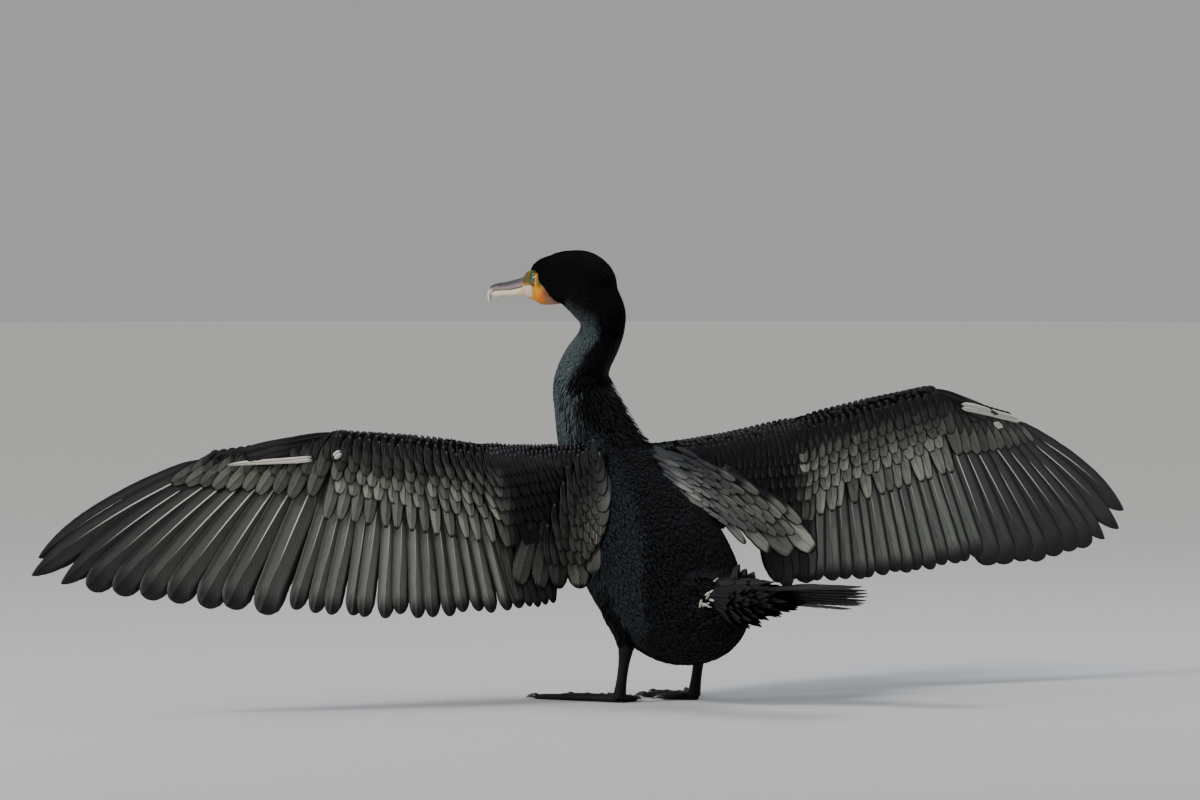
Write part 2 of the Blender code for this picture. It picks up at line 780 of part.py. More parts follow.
def foot_mesh(side):
    """Make one foot: tarsus, four toes and the webs between them, flat on the floor."""
    base = Vector((side * LEG_SPACING, SOLE_Y, 5))
    heel = Vector((side * LEG_SPACING, HEEL_Y, HEEL_Z + 3))
    along = (base - heel).normalized()
    line = [heel, heel + along * 9, heel + along * 30, base]
    tarsus = slab(tube(line, [7, 6, TARSUS_RADIUS, 6.5], 10, 1.15), high=HEEL_Z - GAP)
    pieces = []
    outline = [base - toe_direction(side, 0) * 6]
    tips = []
    for name, angle, length in TOES:
        ahead = toe_direction(side, angle)
        centres, radii = [], []
        for t, radius in ((0, 5.4), (0.34, 4.8), (0.5, 3.9), (0.66, 4.3), (1, 3)):
            centres.append(base + ahead * (length * t) + Vector((0, 0, -1.6 - 1.2 * t)))
            radii.append(radius)
        pieces.append(tube(centres, radii, 7))
        tips.append(base + ahead * (length * 0.95))
    for first, second in zip(tips, tips[1:]):
        outline.append(first)
        middle = first.lerp(second, 0.5)
        outline.append(middle.lerp(base, 0.16))
    outline.append(tips[-1])
    rings = []
    for z in (-WEB_THICKNESS, WEB_THICKNESS):
        rings.append([Vector((p.x, p.y, z)) for p in outline])
    pieces.append(loft(rings))
    joined = combine(tarsus, pieces)
    return combine(joined, [box(FLOOR_BLOCK)], "DIFFERENCE")


def claw_mesh(side, angle, length):
    ahead = toe_direction(side, angle)
    base = Vector((side * LEG_SPACING, SOLE_Y, 5))
    tip = base + ahead * (length + GAP) + Vector((0, 0, -2.8))
    centres, radii = [], []
    for t, rise, radius in ((0, 0, 2.5), (0.35, 0, 2.1), (0.75, -0.4, 1.2), (1, -1.3, 0.3)):
        centres.append(tip + ahead * (CLAW_LENGTH * t) + Vector((0, 0, rise + 0.6)))
        radii.append(radius)
    return tube(centres, radii, 6)


def centre_on_floor(model, holder):
    """Move the model so that the origin is the middle of its box, at floor level."""
    corners = []
    for item in model.objects:
        if item.type == "MESH":
            corners += [Vector(corner) for corner in item.bound_box]
    low = [min(c[axis] for c in corners) for axis in range(3)]
    high = [max(c[axis] for c in corners) for axis in range(3)]
    holder.location = (-(low[0] + high[0]) / 2, -(low[1] + high[1]) / 2, -low[2])


def build_model():
    clear_scene()
    model = make_collection(OBJECT_NAME)
    holder = bpy.data.objects.new(OBJECT_NAME + "_origin", None)
    model.objects.link(holder)

    def add(name, data, slot):
        data.materials.clear()
        item = put(data, name, model)
        data.materials.append(make_material(name, slot))
        data.shade_smooth()
        data.set_sharp_from_angle(angle=math.radians(35))
        item.parent = holder
        return item

    body = body_mesh()
    cut = body_mesh(GAP)
    add("torso", slab(body, high=NECK_BASE_Z), "black_plumage")
    add("neck_lower", slab(body, NECK_BASE_Z + GAP, NECK_MIDDLE_Z), "black_plumage")
    add("neck_upper", slab(body, NECK_MIDDLE_Z + GAP, HEAD_BASE_Z), "black_plumage")

    throat = slab(body, low=HEAD_BASE_Z + GAP)
    whole_head = combine(head_mesh(), [throat])
    whole_head = slab(whole_head, low=HEAD_BASE_Z + GAP)
    head = combine(whole_head.copy(), [face_prism(FACE_OUTLINE, 0)], "DIFFERENCE")
    face = combine(whole_head, [face_prism(FACE_OUTLINE, -GAP)], "INTERSECT")
    sockets, lids = [], []
    for side in (1, -1):
        centre = head_point(EYE_DISTANCE, side * EYE_OFFSET, EYE_Z)
        outward = (head_point(0, side, 0.12) - head_point(0, 0, 0)).normalized()
        lids.append(lid_ring(centre + outward * 3, outward))
        sockets.append(ball(centre, EYE_RADIUS + GAP))
        name = "eye_left" if side > 0 else "eye_right"
        add(name, ball(centre, EYE_RADIUS), "eye")
    face = combine(face, lids)
    face = combine(face, sockets + [face_prism(GAPE, 0)], "DIFFERENCE")
    add("head", head, "black_plumage")
    add("face_skin", face, "bare_skin")
    add("bill_upper", bill_half(True), "horn")
    add("bill_lower", bill_half(False), "horn")
    add("tail", tail_mesh(cut), "black_plumage")
    for name, wing in WINGS.items():
        add("wing_arm_" + name, arm_mesh(wing, cut), "bronze_plumage")
        add("wing_forearm_" + name, forearm_mesh(wing), "bronze_plumage")
        add("wing_hand_" + name, hand_mesh(wing), "bronze_plumage")
        add("leg_" + name, leg_mesh(wing["side"], cut), "black_plumage")
        add("foot_" + name, foot_mesh(wing["side"]), "black_skin")
        for toe, angle, length in TOES:
            claw = claw_mesh(wing["side"], angle, length)
            add("claw_" + toe + "_" + name, claw, "claw")
    centre_on_floor(model, holder)


build_model()
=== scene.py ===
"""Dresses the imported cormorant: skin, feathers, bare face, bill, eyes, feet and a plain stage.

Tables are in millimetres in the bird's own axes: +X its left, -Y the way the body faces, +Z up.
"""
import json
import math

import bmesh
import bpy
import numpy as np
from bpy.props import FloatProperty, FloatVectorProperty, PointerProperty
from bpy.types import Operator, Panel, PropertyGroup
from mathutils import Matrix, Vector
from mathutils.bvhtree import BVHTree

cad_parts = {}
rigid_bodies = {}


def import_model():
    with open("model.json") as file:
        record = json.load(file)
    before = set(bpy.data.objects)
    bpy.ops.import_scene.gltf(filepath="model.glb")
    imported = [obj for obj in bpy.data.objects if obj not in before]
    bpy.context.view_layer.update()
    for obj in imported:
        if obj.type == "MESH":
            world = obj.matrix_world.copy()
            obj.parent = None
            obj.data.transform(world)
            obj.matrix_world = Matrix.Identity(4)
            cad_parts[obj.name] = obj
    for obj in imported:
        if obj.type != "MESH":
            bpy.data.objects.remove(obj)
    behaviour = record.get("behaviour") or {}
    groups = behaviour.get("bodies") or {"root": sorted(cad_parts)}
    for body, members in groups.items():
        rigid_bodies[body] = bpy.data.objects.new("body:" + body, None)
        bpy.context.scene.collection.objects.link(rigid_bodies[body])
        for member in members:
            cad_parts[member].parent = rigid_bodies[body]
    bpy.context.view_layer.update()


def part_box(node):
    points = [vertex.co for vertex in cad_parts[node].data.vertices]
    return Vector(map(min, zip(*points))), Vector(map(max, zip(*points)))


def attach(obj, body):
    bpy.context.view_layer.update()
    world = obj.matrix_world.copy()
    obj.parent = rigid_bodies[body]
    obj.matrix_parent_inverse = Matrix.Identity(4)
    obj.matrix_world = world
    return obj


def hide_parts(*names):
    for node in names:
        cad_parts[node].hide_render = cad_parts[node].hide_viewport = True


bl_info = {
    "name": "Cormorant drying its wings",
    "version": (1, 0, 0),
    "blender": (4, 5, 0),
    "location": "3D View > Sidebar > Cormorant",
    "description": "Builds the skin, feathers, bill, eyes and feet of a life-size cormorant",
    "category": "Add Mesh",
}

for item in list(bpy.data.objects):
    bpy.data.objects.remove(item, do_unlink=True)
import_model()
MM = 0.001

# Body from rump to throat: (x, y, z, half width, half depth, depth of the coat)
BODY_LINE = [
    (0, 134, 104, 5, 4, 1.2),
    (0, 126, 98, 23, 21, 2.6),
    (0, 106, 91, 37, 37, 3),
    (0, 80, 92, 50, 54, 3),
    (0, 45, 104, 60, 71, 3),
    (0, 5, 126, 66, 77, 3),
    (0, -37, 156, 65, 74, 3),
    (0, -74, 190, 58, 62, 3),
    (1, -102, 224, 46, 49, 2.6),
    (2, -120, 252, 39, 41, 2.4),
    (4, -134, 280, 33.5, 34, 2.2),
    (7, -141, 303, 28.5, 29, 2),
    (8, -130, 325, 24.5, 25, 1.8),
    (9, -107, 344, 22, 22.5, 1.7),
    (9, -95, 360, 21.5, 22, 1.6),
    (10, -96, 376, 23.5, 25, 1.5),
    (12, -113, 391, 22, 28, 1.2),
    (16, -136, 401, 19, 25, 1.2),
    (19, -155, 404, 15, 20, 1.1),
]
HEAD_YAW = math.radians(10)
HEAD_ORIGIN = (10, -93)
# Head forward from above the neck: (distance, z, half width, half depth)
HEAD_LINE = [
    (-11, 402, 4, 5),
    (-6, 403, 13, 13.5),
    (6, 406.5, 19.5, 21.5),
    (26, 410.5, 22, 25.5),
    (50, 410.5, 21.5, 26),
    (74, 408, 18, 25.5),
    (91, 406, 14.3, 24),
    (103, 405, 11, 19.5),
    (110, 402.5, 9.2, 15.5),
    (114.6, 401, 8.1, 12),
]
HEAD_COAT = 1.2
MATT_COATS = ("coat_head", "coat_throat", "coat_wing_edges")
# Rear and upper edge of the bare skin, in (distance, z) seen from the side
BARE_EDGE = [
    (125, 413.6),
    (108, 413.9),
    (99, 414.6),
    (92, 414.2),
    (86.5, 411.4),
    (84.5, 406),
    (83, 402.2),
    (76, 399.8),
    (70, 394.5),
    (67.5, 387),
    (66, 378),
    (66, 360),
    (125, 360),
]
EYE_DISTANCE = 91
EYE_Z = 407.8
EYE_RADIUS = 5.8
EYE_OFFSET = 9.1

# Bill: (distance, z of the mouth line, half width, height above, depth below)
BILL_LINE = [
    (113.6, 399.6, 7.9, 12, 9.6),
    (123, 397.9, 6.6, 10.2, 8.3),
    (137, 396, 5.2, 9.3, 7),
    (150, 395.3, 4.6, 7.8, 6.3),
    (161, 394.8, 4.3, 7.1, 7.4),
    (169.5, 393.4, 3.2, 6.6, 5),
]
HOOK_LINE = [
    (160, 398.4, 3.2),
    (165, 398, 3.3),
    (170, 396.4, 3.1),
    (174.2, 392.4, 2.7),
    (175.3, 387.5, 2.0),
    (174.6, 382.4, 0.8),
]

# Tail
TAIL_ROOT = (-2, 120, 111)
TAIL_SWING = math.radians(22)
TAIL_LENGTH = 168
TAIL_FEATHERS = 14
TAIL_SPREAD = math.radians(30)
TAIL_RISE = 0.04
TAIL_ROLL = math.radians(18)
TAIL_STEP = 1.3

# Places where white down shows at the root of the tail
DOWN_SPECKS = [(5, 111, 118), (-5, 103, 120), (-12, 100, 122), (18, 118, 107),
               (21, 119, 101), (23, 119, 97)]

# Legs and feet
LEG_SPACING = 42
LEG_LINE = [(40, -4, 106, 26), (41, 0, 86, 21), (42, 5, 67, 12), (42, 8, 50, 6.8)]
HEEL_Y = 8
HEEL_Z = 53
SOLE_Y = -6
FOOT_TURN = math.radians(6)
TOES = [("hind", -68, 29), ("inner", -27, 62), ("middle", -3, 86), ("outer", 20, 98)]
WEB_THICKNESS = 1.6
CLAW_LENGTH = 12

# Wings: shoulder, elbow, wrist and the last joint; angles in degrees
WINGS = {
    "left": dict(
        side=1,
        joints=[(50, -68, 240), (185, -20, 232), (337, -30, 262), (471, -45, 244)],
        tilt=(16, 14, 12, 14),
        primary_fan=(28, 73, 0.85),
        secondary_fan=(21, -16),
        scapular_fan=(2, -8),
        thumb_fan=80,
        thumb_length=110,
        # First and last of the white streak: (place, behind the bone, half width); its height
        streak=((2.25, 17, 1.6), (2.72, 10, 0.7), 9),
        # light: factor on the coverts' bronze; above 1 it is painted light
        light=1.0,
        thumb_height=8,
        spots=[(2.02, 17), (2.03, 14)],
        outermost=202,
        rise=1.1,
    ),
    "right": dict(
        side=-1,
        joints=[(-50, -68, 240), (-185, -40, 250), (-334, -44, 293), (-458, -91, 262)],
        tilt=(10, 6, 4, 4),
        primary_fan=(25, 77, 1.0),
        secondary_fan=(22, -12),
        scapular_fan=(14, -2),
        thumb_fan=72,
        thumb_length=92,
        streak=((2.28, 6.5, 2.3), (2.8, 1.5, 1.7), 15.5),
        # Painted light: the lit right wing's coverts carry more bronze
        light=1.25,
        thumb_height=4,
        spots=[(2.68, 12), (2.71, 10.5)],
        outermost=222,
        rise=1.5,
    ),
}
# Flesh of a wing: (place along the joints, ahead of the bone, behind it, half thickness)
WING_FLESH = [
    (-0.4, 8, 28, 12),
    (0.0, 10, 30, 13),
    (0.5, 16, 32, 12),
    (1.0, 25, 24, 11),
    (1.5, 18, 21, 9.5),
    (2.0, 8, 18, 8),
    (2.5, 6, 15, 5.5),
    (3.0, 4, 10, 3),
]
PRIMARIES = 10
SECONDARIES = 15
# Direction from which the shoulder feathers are laid on: behind the bird, and to its left
LAID_FROM = np.array((0.5, 0.8653, 0.035))
# Shoulder feathers, in the plane of the upper arm: (out from the shoulder, behind it).
# "focus" is where their rows draw together, "edge" the line of the lowest tips.
# Long ones are (out, behind, fan, length, half width); scales are (fan low, fan high, half
# width); "light" is the share of bronze in scales and long ones, high on the right shoulder
# as painted light and low on the left as painted shade.
SHOULDERS = {
    "left": dict(
        focus=(-20, -10),
        edge=[(100, 126), (73, 128), (42, 129), (18, 117), (-4, 99), (-17, 80)],
        long=[(126, 124, 37, 124, 15), (98, 130, 29, 124, 15), (72, 131, 21, 121, 15),
              (42, 133, 14, 118, 15.5), (18, 120, 9, 106, 13)],
        scales=(17, 10, 7.6),
        light=(0.11, 0.26),
    ),
    "right": dict(
        focus=(-6, -11),
        edge=[(25, 68), (41, 84), (65, 95), (90, 106), (113, 111), (134, 112), (148, 96)],
        long=[(136, 115, 41, 124, 13.5), (113, 116, 40, 120, 13.5), (90, 109, 38, 110, 13),
              (65, 97, 35, 97, 12), (41, 85, 31, 84, 10)],
        scales=(42, 54, 6.6),
        light=(0.5, 0.95),
    ),
}


# ---- shared geometry
def smooth_line(controls, steps):
    """Return stations on a curve through the controls, with the ends kept."""
    rows = np.array(controls, float)
    padded = np.vstack([rows[:1], rows, rows[-1:]])
    result = []
    for i in range(len(rows) - 1):
        p0, p1, p2, p3 = padded[i:i + 4]
        slope, next_slope, rise = (p2 - p0) / 2, (p3 - p1) / 2, p2 - p1
        for k in range(steps):
            t = k / steps
            square = 3 * rise - 2 * slope - next_slope
            cubic = slope + next_slope - 2 * rise
            result.append(p1 + slope * t + square * t * t + cubic * t ** 3)
    result.append(rows[-1])
    return np.array(result)


def blend(table, place):
    """Read a table of (place, values...) at a place, held at its ends."""
    rows = np.array(table, float)
    return [float(np.interp(place, rows[:, 0], rows[:, i])) for i in range(1, rows.shape[1])]


def unit(vectors):
    vectors = np.asarray(vectors, float)
    return vectors / np.maximum(np.linalg.norm(vectors, axis=-1, keepdims=True), 1e-9)


def head_point(distance, offset, z):
    """Place a point by its distance along the head and its offset to the bird's left."""
    x, y = HEAD_ORIGIN
    sine, cosine = math.sin(HEAD_YAW), math.cos(HEAD_YAW)
    return np.stack(np.broadcast_arrays(
        x + distance * sine + offset * cosine, y - distance * cosine + offset * sine, z),
        axis=-1).astype(float)


def head_place(points):
    """Turn points back into distance along the head, offset to the left and z."""
    sine, cosine = math.sin(HEAD_YAW), math.cos(HEAD_YAW)
    dx = points[..., 0] - HEAD_ORIGIN[0]
    dy = points[..., 1] - HEAD_ORIGIN[1]
    return dx * sine - dy * cosine, dx * cosine + dy * sine, points[..., 2]


low_eye, high_eye = (np.array(corner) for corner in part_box("eye_left"))
SHIFT = (low_eye + high_eye) / 2 - head_point(EYE_DISTANCE, EYE_OFFSET, EYE_Z) * MM


def to_model(points):
    """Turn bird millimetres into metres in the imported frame."""
    return np.asarray(points, float) * MM + SHIFT


def mesh_from(name, points, faces, materials=(), face_material=None, smooth=True):
    """Make an object from points in bird millimetres."""
    data = bpy.data.meshes.new(name)
    data.from_pydata(to_model(points).tolist(), [], [list(map(int, face)) for face in faces])
    data.validate()
    for material in materials:
        data.materials.append(material)
    if face_material is not None:
        data.polygons.foreach_set("material_index", np.asarray(face_material, np.int32))
    data.polygons.foreach_set("use_smooth", np.full(len(data.polygons), smooth))
    item = bpy.data.objects.new(name, data)
    bpy.context.scene.collection.objects.link(item)
    return item


def set_values(item, name, values):
    layer = item.data.attributes.new(name, "FLOAT", "POINT")
    layer.data.foreach_set("value", np.asarray(values, np.float32))


def set_colours(item, name, colours):
    layer = item.data.color_attributes.new(name, "FLOAT_COLOR", "POINT")
    full = np.ones((len(colours), 4), np.float32)
    full[:, :3] = colours
    layer.data.foreach_set("color", full.ravel())


def ring_points(centre, across, up, half_width, half_depth, sides):
    angles = 2 * np.pi * (np.arange(sides) + 0.5) / sides
    return (np.asarray(centre) + np.outer(np.cos(angles), across) * half_width
            + np.outer(np.sin(angles), up) * half_depth)


def loft_faces(rings, sides, closed_ends=True):
    faces = []
    for r in range(rings - 1):
        for i in range(sides):
            j = (i + 1) % sides
            faces.append((r * sides + i, r * sides + j, (r + 1) * sides + j, (r + 1) * sides + i))
    if closed_ends:
        faces.append(tuple(range(sides))[::-1])
        faces.append(tuple(range((rings - 1) * sides, rings * sides)))
    return faces


def tube_rings(centres, radii, sides, flatten=1.0):
    """Return rings of points round a line of centres."""
    centres = np.asarray(centres, float)
    alongs = unit(np.gradient(centres, axis=0))
    rings = []
    for centre, along, radius in zip(centres, alongs, radii):
        reference = (0, 0, 1) if abs(along[2]) < 0.8 else (0, 1, 0)
        across = unit(np.cross(along, reference))
        up = np.cross(across, along)
        rings.append(ring_points(centre, across, up, radius, radius * flatten, sides))
    return rings


def fused(name, lofts, voxel, smoothing, materials):
    """Fuse closed lofts, each a list of rings, into one smooth surface."""
    points, faces = [], []
    for rings in lofts:
        base = sum(len(p) for p in points)
        sides = len(rings[0])
        block = np.vstack(rings)
        faces += [tuple(base + i for i in face) for face in loft_faces(len(rings), sides)]
        points.append(block)
    rough = mesh_from(name + "_rough", np.vstack(points), faces)
    body = bmesh.new()
    body.from_mesh(rough.data)
    bmesh.ops.recalc_face_normals(body, faces=body.faces[:])
    body.to_mesh(rough.data)
    body.free()
    remesh = rough.modifiers.new("fuse", "REMESH")
    remesh.mode = "VOXEL"
    remesh.voxel_size = voxel * MM
    soften = rough.modifiers.new("soften", "SMOOTH")
    soften.factor = 0.5
    soften.iterations = smoothing
    graph = bpy.context.evaluated_depsgraph_get()
    data = bpy.data.meshes.new_from_object(rough.evaluated_get(graph))
    bpy.data.objects.remove(rough, do_unlink=True)
    data.materials.clear()
    for material in materials:
        data.materials.append(material)
    data.polygons.foreach_set("use_smooth", np.full(len(data.polygons), True))
    data.name = name
    item = bpy.data.objects.new(name, data)
    bpy.context.scene.collection.objects.link(item)
    return item


def bird_points(item):
    """Return an object's points in bird millimetres."""
    flat = np.empty(len(item.data.vertices) * 3, np.float32)
    item.data.vertices.foreach_get("co", flat)
    return (flat.reshape(-1, 3).astype(float) - SHIFT) / MM


def place_piece(item, nodes=()):
    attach(item, "root")
    if nodes:
        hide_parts(*nodes)
    return item


def body_frames(steps):
    """Return stations along the body: centres, across, up, alongs and sizes."""
    line = smooth_line(BODY_LINE, steps)
    centres = line[:, :3]
    alongs = unit(np.gradient(centres, axis=0))
    side = np.array([1.0, 0, 0])
    acrosses = unit(side - alongs * (alongs @ side)[:, None])
    ups = np.cross(acrosses, alongs)
    return centres, acrosses, ups, alongs, line[:, 3:]


def head_sizes(distance):
    """Return z, half width and half depth of the head at distances along it."""
    rows = smooth_line(HEAD_LINE, 6)
    return [np.interp(distance, rows[:, 0], rows[:, i]) for i in (1, 2, 3)]


def wing_frame(wing, place):
    """Return the bone point and the outward, trailing and dorsal directions at a place."""
    joints = [Vector(p) for p in wing["joints"]]
    segment = min(max(int(place), 0), 2)
    part = place - segment
    point = joints[segment].lerp(joints[segment + 1], part)
    directions = [(b - a).normalized() for a, b in zip(joints, joints[1:])]
    tangents = [directions[0], (directions[0] + directions[1]).normalized(),
                (directions[1] + directions[2]).normalized(), directions[2]]
    outward = tangents[segment].lerp(tangents[segment + 1], min(max(part, 0), 1)).normalized()
    tilts = wing["tilt"]
    tilt = math.radians(tilts[segment] + (tilts[segment + 1] - tilts[segment]) * part)
    down = Vector((0, 0, -1))
    down = (down - outward * down.dot(outward)).normalized()
    dorsal = outward.cross(down) * wing["side"]
    trailing = down * math.cos(tilt) + dorsal * math.sin(tilt)
    dorsal = dorsal * math.cos(tilt) - down * math.sin(tilt)
    return [np.array(v) for v in (point, outward, trailing, dorsal)]


def tail_frame():
    """Return the backward, left and up directions of the tail."""
    backward = unit([-math.sin(TAIL_SWING), math.cos(TAIL_SWING), TAIL_RISE])
    level = np.array([math.cos(TAIL_SWING), math.sin(TAIL_SWING), 0])
    up = np.cross(level, backward)
    up = up if up[2] > 0 else -up
    left = level * math.cos(TAIL_ROLL) + up * math.sin(TAIL_ROLL)
    up = up * math.cos(TAIL_ROLL) - level * math.sin(TAIL_ROLL)
    return backward, left, up


# ---- materials
def linear(code):
    """Turn an sRGB hex value into linear red, green and blue."""
    parts = [int(code[i:i + 2], 16) / 255 for i in (1, 3, 5)]
    return tuple(c / 12.92 if c <= 0.04045 else ((c + 0.055) / 1.055) ** 2.4 for c in parts)


def add_node(tree, kind, settings=None, inputs=None):
    """Add a node, set its properties, and give each input a value or a link."""
    node = tree.nodes.new(kind)
    for key, value in (settings or {}).items():
        setattr(node, key, value)
    for key, value in (inputs or {}).items():
        if isinstance(value, bpy.types.NodeSocket):
            tree.links.new(value, node.inputs[key])
        else:
            node.inputs[key].default_value = value
    return node


def new_material(name, **constants):
    """Return a material, its tree and its Principled shader with constant values set."""
    material = bpy.data.materials.new(name)
    material.use_nodes = True
    tree = material.node_tree
    shader = tree.nodes["Principled BSDF"]
    for key, value in constants.items():
        shader.inputs[key.replace("_", " ")].default_value = value
    return material, tree, shader


def ramp(tree, value, stops, interpolation="LINEAR"):
    """Add a colour ramp with (place, colour) stops."""
    node = add_node(tree, "ShaderNodeValToRGB", None, {"Fac": value})
    node.color_ramp.interpolation = interpolation
    while len(node.color_ramp.elements) < len(stops):
        node.color_ramp.elements.new(0.5)
    for element, (place, colour) in zip(node.color_ramp.elements, stops):
        element.position = place
        element.color = (*colour, 1)
    return node.outputs["Color"]


def mixed(tree, factor, first, second, mode="MIX"):
    node = add_node(tree, "ShaderNodeMix", {"data_type": "RGBA", "blend_type": mode})
    for key, value in ((0, factor), (6, first), (7, second)):
        if isinstance(value, bpy.types.NodeSocket):
            tree.links.new(value, node.inputs[key])
        elif key == 0:
            node.inputs[key].default_value = value
        else:
            node.inputs[key].default_value = (*value, 1)
    return node.outputs[2]


def calculated(tree, operation, first, second=0.0, clamp=False):
    settings = {"operation": operation, "use_clamp": clamp}
    return add_node(tree, "ShaderNodeMath", settings, {0: first, 1: second}).outputs[0]


def vane_coordinates(tree):
    """Return how far a point is across its feather, 0 to 1 each way, and along it."""
    uv = add_node(tree, "ShaderNodeUVMap", {"uv_map": "Vane"})
    split = add_node(tree, "ShaderNodeSeparateXYZ", None, {0: uv.outputs[0]})
    centred = calculated(tree, "SUBTRACT", split.outputs[0], 0.5)
    across = calculated(tree, "ABSOLUTE", calculated(tree, "MULTIPLY", centred, 2.0))
    return across, split.outputs[1], centred


def feather_value(tree, name):
    return add_node(tree, "ShaderNodeAttribute", {"attribute_name": name}).outputs["Fac"]


def barb_bump(tree, across, along, barbs, strength):
    """Barbs run from the shaft out and towards the tip; they are drawn several to a bundle."""
    slant = calculated(tree, "MULTIPLY", across, 0.16)
    place = calculated(tree, "SUBTRACT", along, slant)
    fine = calculated(tree, "SINE", calculated(tree, "MULTIPLY", place, barbs))
    return add_node(tree, "ShaderNodeBump", None,
                    {"Strength": strength, "Distance": 0.0004, "Height": fine}).outputs[0]


def flight_feather_material(looks):
    """Melanin-black keratin vanes: bronze-grey middles, dark fringes and tips."""
    material, tree, shader = new_material("flight_feather_vane", Roughness=0.46, IOR=1.55, Specular_IOR_Level=0.3)
    across, along, centred = vane_coordinates(tree)
    bronze = feather_value(tree, "bronze")
    tone = feather_value(tree, "tone")
    middle = mixed(tree, bronze, tuple(looks.vane_black), tuple(looks.vane_bronze))
    # Fringe: the outer fifth of each side is darker, and so is the last tenth of the length
    fringe = ramp(tree, across, [(0.5, (0, 0, 0)), (0.86, (1, 1, 1))], "EASE")
    tip = ramp(tree, along, [(0.84, (0, 0, 0)), (0.97, (1, 1, 1))], "EASE")
    edge = calculated(tree, "MAXIMUM", fringe, tip)
    colour = mixed(tree, edge, middle, tuple(looks.vane_edge))
    # Worn barbs differ in tone from bundle to bundle along the vane
    cloth = add_node(tree, "ShaderNodeCombineXYZ", None, {
        0: calculated(tree, "MULTIPLY", across, 1.6),
        1: calculated(tree, "MULTIPLY", calculated(
            tree, "SUBTRACT", along, calculated(tree, "MULTIPLY", across, 0.16)), 60.0),
        2: calculated(tree, "MULTIPLY", tone, 40.0)})
    streak = add_node(tree, "ShaderNodeTexNoise", None, {
        "Vector": cloth.outputs[0], "Scale": 1.0, "Detail": 3.0, "Roughness": 0.6}).outputs[0]
    level = calculated(tree, "ADD", calculated(tree, "MULTIPLY", streak, 0.9),
                       calculated(tree, "MULTIPLY", tone, 0.5))
    shade = ramp(tree, level, [(0.3, (0.55, 0.55, 0.56)), (0.95, (1.35, 1.34, 1.3))])
    colour = mixed(tree, 1.0, colour, shade, "MULTIPLY")
    white = feather_value(tree, "pale")
    colour = mixed(tree, white, colour, linear("#d8d4cb"))
    tree.links.new(colour, shader.inputs["Base Color"])
    bump = barb_bump(tree, across, along, 420.0, 0.5)
    tree.links.new(bump, shader.inputs["Normal"])
    return material


def covert_feather_material(looks):
    """Bronze-grey coverts with a glossy black border, as the scaled upper wing shows them."""
    material, tree, shader = new_material("covert_feather_vane", Roughness=0.5, IOR=1.55, Specular_IOR_Level=0.2)
    across, along, centred = vane_coordinates(tree)
    bronze = feather_value(tree, "bronze")
    tone = feather_value(tree, "tone")
    middle = mixed(tree, bronze, tuple(looks.vane_black), tuple(looks.covert_bronze))
    # The border is about a fifth of the half width and follows the round tip; a feather is
    # some five half widths long
    rest = calculated(tree, "MULTIPLY", calculated(tree, "SUBTRACT", 1.0, along), 5.0)
    reach = calculated(tree, "MAXIMUM", across, calculated(tree, "SUBTRACT", 1.0, rest))
    border = ramp(tree, reach, [(0.7, (0, 0, 0)), (0.9, (1, 1, 1))], "EASE")
    # The downy base of each feather is black; it shows only where no row lies over it
    base = ramp(tree, along, [(0.35, (1, 1, 1)), (0.68, (0, 0, 0))], "EASE")
    border = calculated(tree, "MAXIMUM", border, base)
    colour = mixed(tree, border, middle, linear("#060709"))
    cloth = add_node(tree, "ShaderNodeCombineXYZ", None, {
        0: calculated(tree, "MULTIPLY", centred, 4.0),
        1: calculated(tree, "MULTIPLY", along, 9.0),
        2: calculated(tree, "MULTIPLY", tone, 30.0)})
    streak = add_node(tree, "ShaderNodeTexNoise", None, {
        "Vector": cloth.outputs[0], "Scale": 1.0, "Detail": 3.0, "Roughness": 0.6}).outputs[0]
    level = calculated(tree, "ADD", calculated(tree, "MULTIPLY", streak, 0.8),
                       calculated(tree, "MULTIPLY", tone, 0.7))
    shade = ramp(tree, level, [(0.3, (0.5, 0.51, 0.53)), (1.0, (1.35, 1.33, 1.28))])
    colour = mixed(tree, 1.0, colour, shade, "MULTIPLY")
    colour = mixed(tree, feather_value(tree, "pale"), colour, linear("#e4e0d6"))
    tree.links.new(colour, shader.inputs["Base Color"])
    bump = barb_bump(tree, across, along, 150.0, 0.4)
    tree.links.new(bump, shader.inputs["Normal"])
    return material


def shaft_material(looks):
    """Solid keratin rachis: smooth, and made paler than the vane by a painted highlight that fades towards the
    tip.
    """
    material, tree, shader = new_material("feather_shaft_keratin", Roughness=0.28, IOR=1.55)
    across, along, centred = vane_coordinates(tree)
    # gleam is how strongly a shaft carries the painted highlight
    pale = feather_value(tree, "gleam")
    fade = ramp(tree, along, [(0.5, (1, 1, 1)), (0.82, (0, 0, 0))], "EASE")
    factor = calculated(tree, "MULTIPLY", pale, fade)
    colour = mixed(tree, factor, linear("#17171a"), tuple(looks.shaft_glint))
    tree.links.new(colour, shader.inputs["Base Color"])
    return material


def small_feather_material(name, roughness, gloss):
    """Small feathers: melanin-black barbs with free, hair-like edges that swallow light."""
    material, tree, shader = new_material(
        name, Roughness=roughness, IOR=1.55, Specular_IOR_Level=gloss)
    across, along, centred = vane_coordinates(tree)
    tone = feather_value(tree, "tone")
    hue = add_node(tree, "ShaderNodeAttribute", {"attribute_name": "coat"}).outputs["Color"]
    shade = ramp(tree, tone, [(0.0, (0.85, 0.85, 0.87)), (1.0, (1.15, 1.15, 1.12))])
    colour = mixed(tree, 1.0, hue, shade, "MULTIPLY")
    edge = ramp(tree, across, [(0.55, (1, 1, 1)), (1.0, (0.8, 0.8, 0.83))])
    colour = mixed(tree, 1.0, colour, edge, "MULTIPLY")
    tree.links.new(colour, shader.inputs["Base Color"])
    bump = barb_bump(tree, across, along, 60.0, 0.35)
    tree.links.new(bump, shader.inputs["Normal"])
    return material


